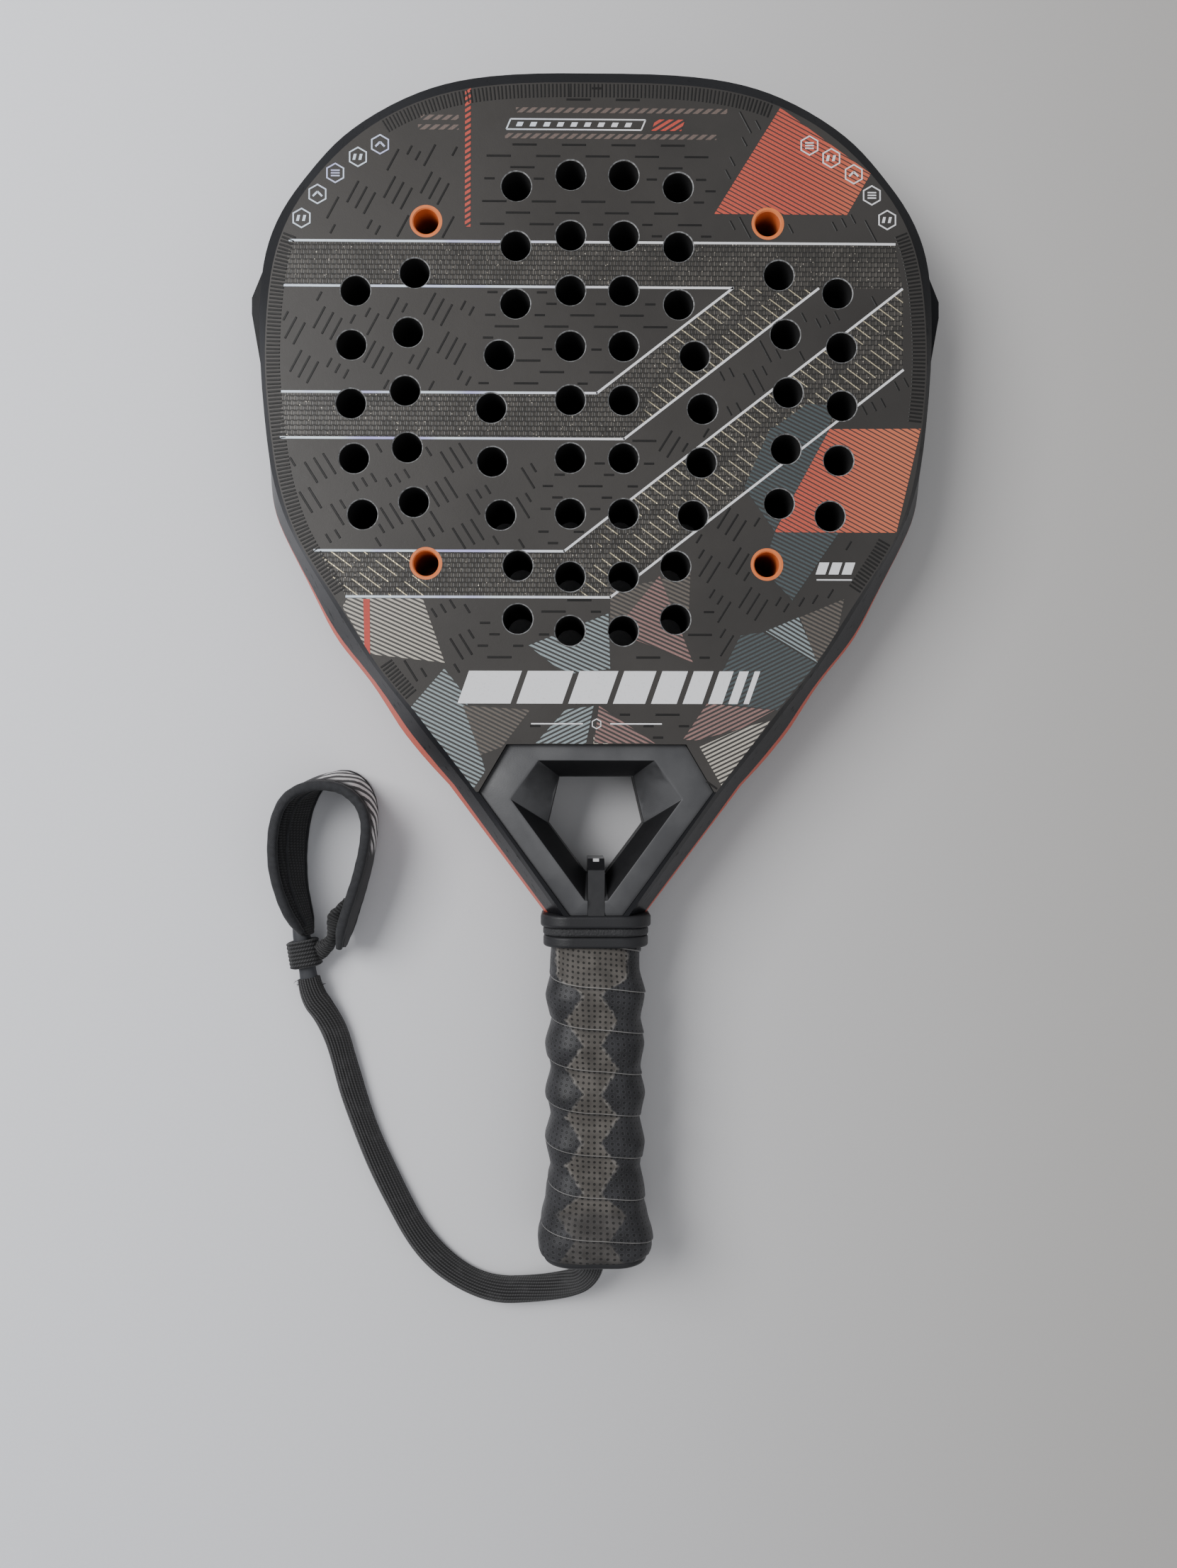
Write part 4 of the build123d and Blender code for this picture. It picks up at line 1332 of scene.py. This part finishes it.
class RACKET_OT_overgrip(bpy.types.Operator):
    """Winds the overgrip tape up the handle"""
    bl_idname = "racket.overgrip"
    bl_label = "Overgrip"

    def execute(self, context):
        handle = settings("racket_handle")
        sides, pitch, step = handle.segments, handle.wrap_pitch, handle.wrap_step
        profile = [(0.05 + k * 0.86, k * 0.86 / pitch) for k in range(17)]
        profile += [(pitch - 0.9, 0.96), (pitch - 0.25, 1.0), (pitch - 0.05, 0.85), (pitch, 0.12)]
        rows = len(profile)
        top, bottom = GRIP_FORM[0][0], GRIP_FORM[-1][0]
        first_edge = -111.1 + 2 * pitch
        turns = 10
        total = turns * rows
        verts = []
        for r in range(total):
            bore_shade, lift = profile[r % rows]
            for j in range(sides):
                angle = TURN * j / sides
                y = first_edge - pitch * (r // rows + j / sides) - bore_shade
                y = min(top, max(bottom, y))
                wide, high = grip_size(y)
                soft = math.sin(angle * 3 + y * 0.21) * 0.12 + math.sin(angle * 5 - y * 0.37) * 0.08
                grow = soft - 0.35 + (step * lift if bottom < y < top else 0)
                x, z = squared(angle, wide / 2 + grow, high / 2 + grow, 0.66)
                verts.append((-x * MM, y * MM, (MID + z) * MM))
        faces, maps = [], []
        rim = verts[rows * sides:(rows + 1) * sides]
        around = [0.0]
        for here, ahead in zip(rim, rim[1:] + rim[:1]):
            around.append(around[-1] + math.hypot(ahead[0] - here[0], ahead[2] - here[2]) / MM)
        for r in range(total - 1):
            for j in range(sides):
                if j + 1 < sides:
                    a, b, c, d = (r, j), (r, j + 1), (r + 1, j + 1), (r + 1, j)
                else:
                    if r + rows + 1 >= total:
                        continue
                    a, b, c, d = (r, j), (r + rows, 0), (r + rows + 1, 0), (r + 1, j)
                faces.append(tuple(p * sides + q for p, q in (a, b, c, d)))
                q0 = pitch - profile[r % rows][0]
                q1 = min(q0, pitch - profile[(r + 1) % rows][0])
                u0, u1 = around[j], around[j + 1]
                maps.append(((u0, q0), (u1, q0), (u1, q1), (u0, q1)))
        piece = built("overgrip_tape", verts, faces, maps)
        with edit(piece):
            bpy.ops.mesh.dissolve_degenerate(threshold=MERGE)
            bpy.ops.mesh.remove_doubles(threshold=2 * MERGE)
            bpy.ops.mesh.normals_make_consistent(inside=False)
        settle(piece, tape_paint(), "racket", "overgrip_film", "overgrip", angle=50)
        return {"FINISHED"}


class RACKET_OT_handle_ends(bpy.types.Operator):
    """Finishes the collar bands and the butt cap"""
    bl_idname = "racket.handle_ends"
    bl_label = "Collar and butt"

    def execute(self, context):
        coat(plain_paint("collar_rubber", (0.017, 0.017, 0.019), 0.5, 0.6, 0.06), "collar_band_upper",
             "collar_band_lower")
        coat(plain_paint("collar_rough", (0.027, 0.027, 0.029), 0.62, 0.9, 0.45, 0.2), "collar_band_middle")
        coat(plain_paint("butt_plastic", (0.016, 0.016, 0.018), 0.48, 0.6, 0.05), "butt_cap")
        return {"FINISHED"}


# ---------------------------------------------------------------- add-on

STEPS = (RACKET_OT_stage, RACKET_OT_cord, RACKET_OT_keeper, RACKET_OT_pad, RACKET_OT_declare, RACKET_OT_shell,
         RACKET_OT_throat, RACKET_OT_face_relief, RACKET_OT_face_print, RACKET_OT_overgrip,
         RACKET_OT_handle_ends)
GROUPS = (("racket_face", RacketFaceSettings), ("racket_handle", RacketHandleSettings),
          ("racket_strap", RacketStrapSettings))


class RACKET_PT_panel(bpy.types.Panel):
    """Lists the racket's steps and settings"""
    bl_idname = "RACKET_PT_panel"
    bl_label = "Padel racket"
    bl_space_type = "VIEW_3D"
    bl_region_type = "UI"
    bl_category = "Racket"

    def draw(self, context):
        for step in STEPS:
            self.layout.operator(step.bl_idname)
        for name, group in GROUPS:
            column = self.layout.column(heading=name.replace("_", " "))
            for prop in group.__annotations__:
                column.prop(getattr(context.scene, name), prop)


def register():
    for name, group in GROUPS:
        bpy.utils.register_class(group)
        setattr(bpy.types.Scene, name, PointerProperty(type=group))
    for step in STEPS:
        bpy.utils.register_class(step)
    bpy.utils.register_class(RACKET_PT_panel)


def unregister():
    bpy.utils.unregister_class(RACKET_PT_panel)
    for step in reversed(STEPS):
        bpy.utils.unregister_class(step)
    for name, group in GROUPS:
        delattr(bpy.types.Scene, name)
        bpy.utils.unregister_class(group)


def main():
    register()
    for step in STEPS:
        getattr(bpy.ops.racket, step.bl_idname.split(".")[1])()


if __name__ == "__main__":
    main()
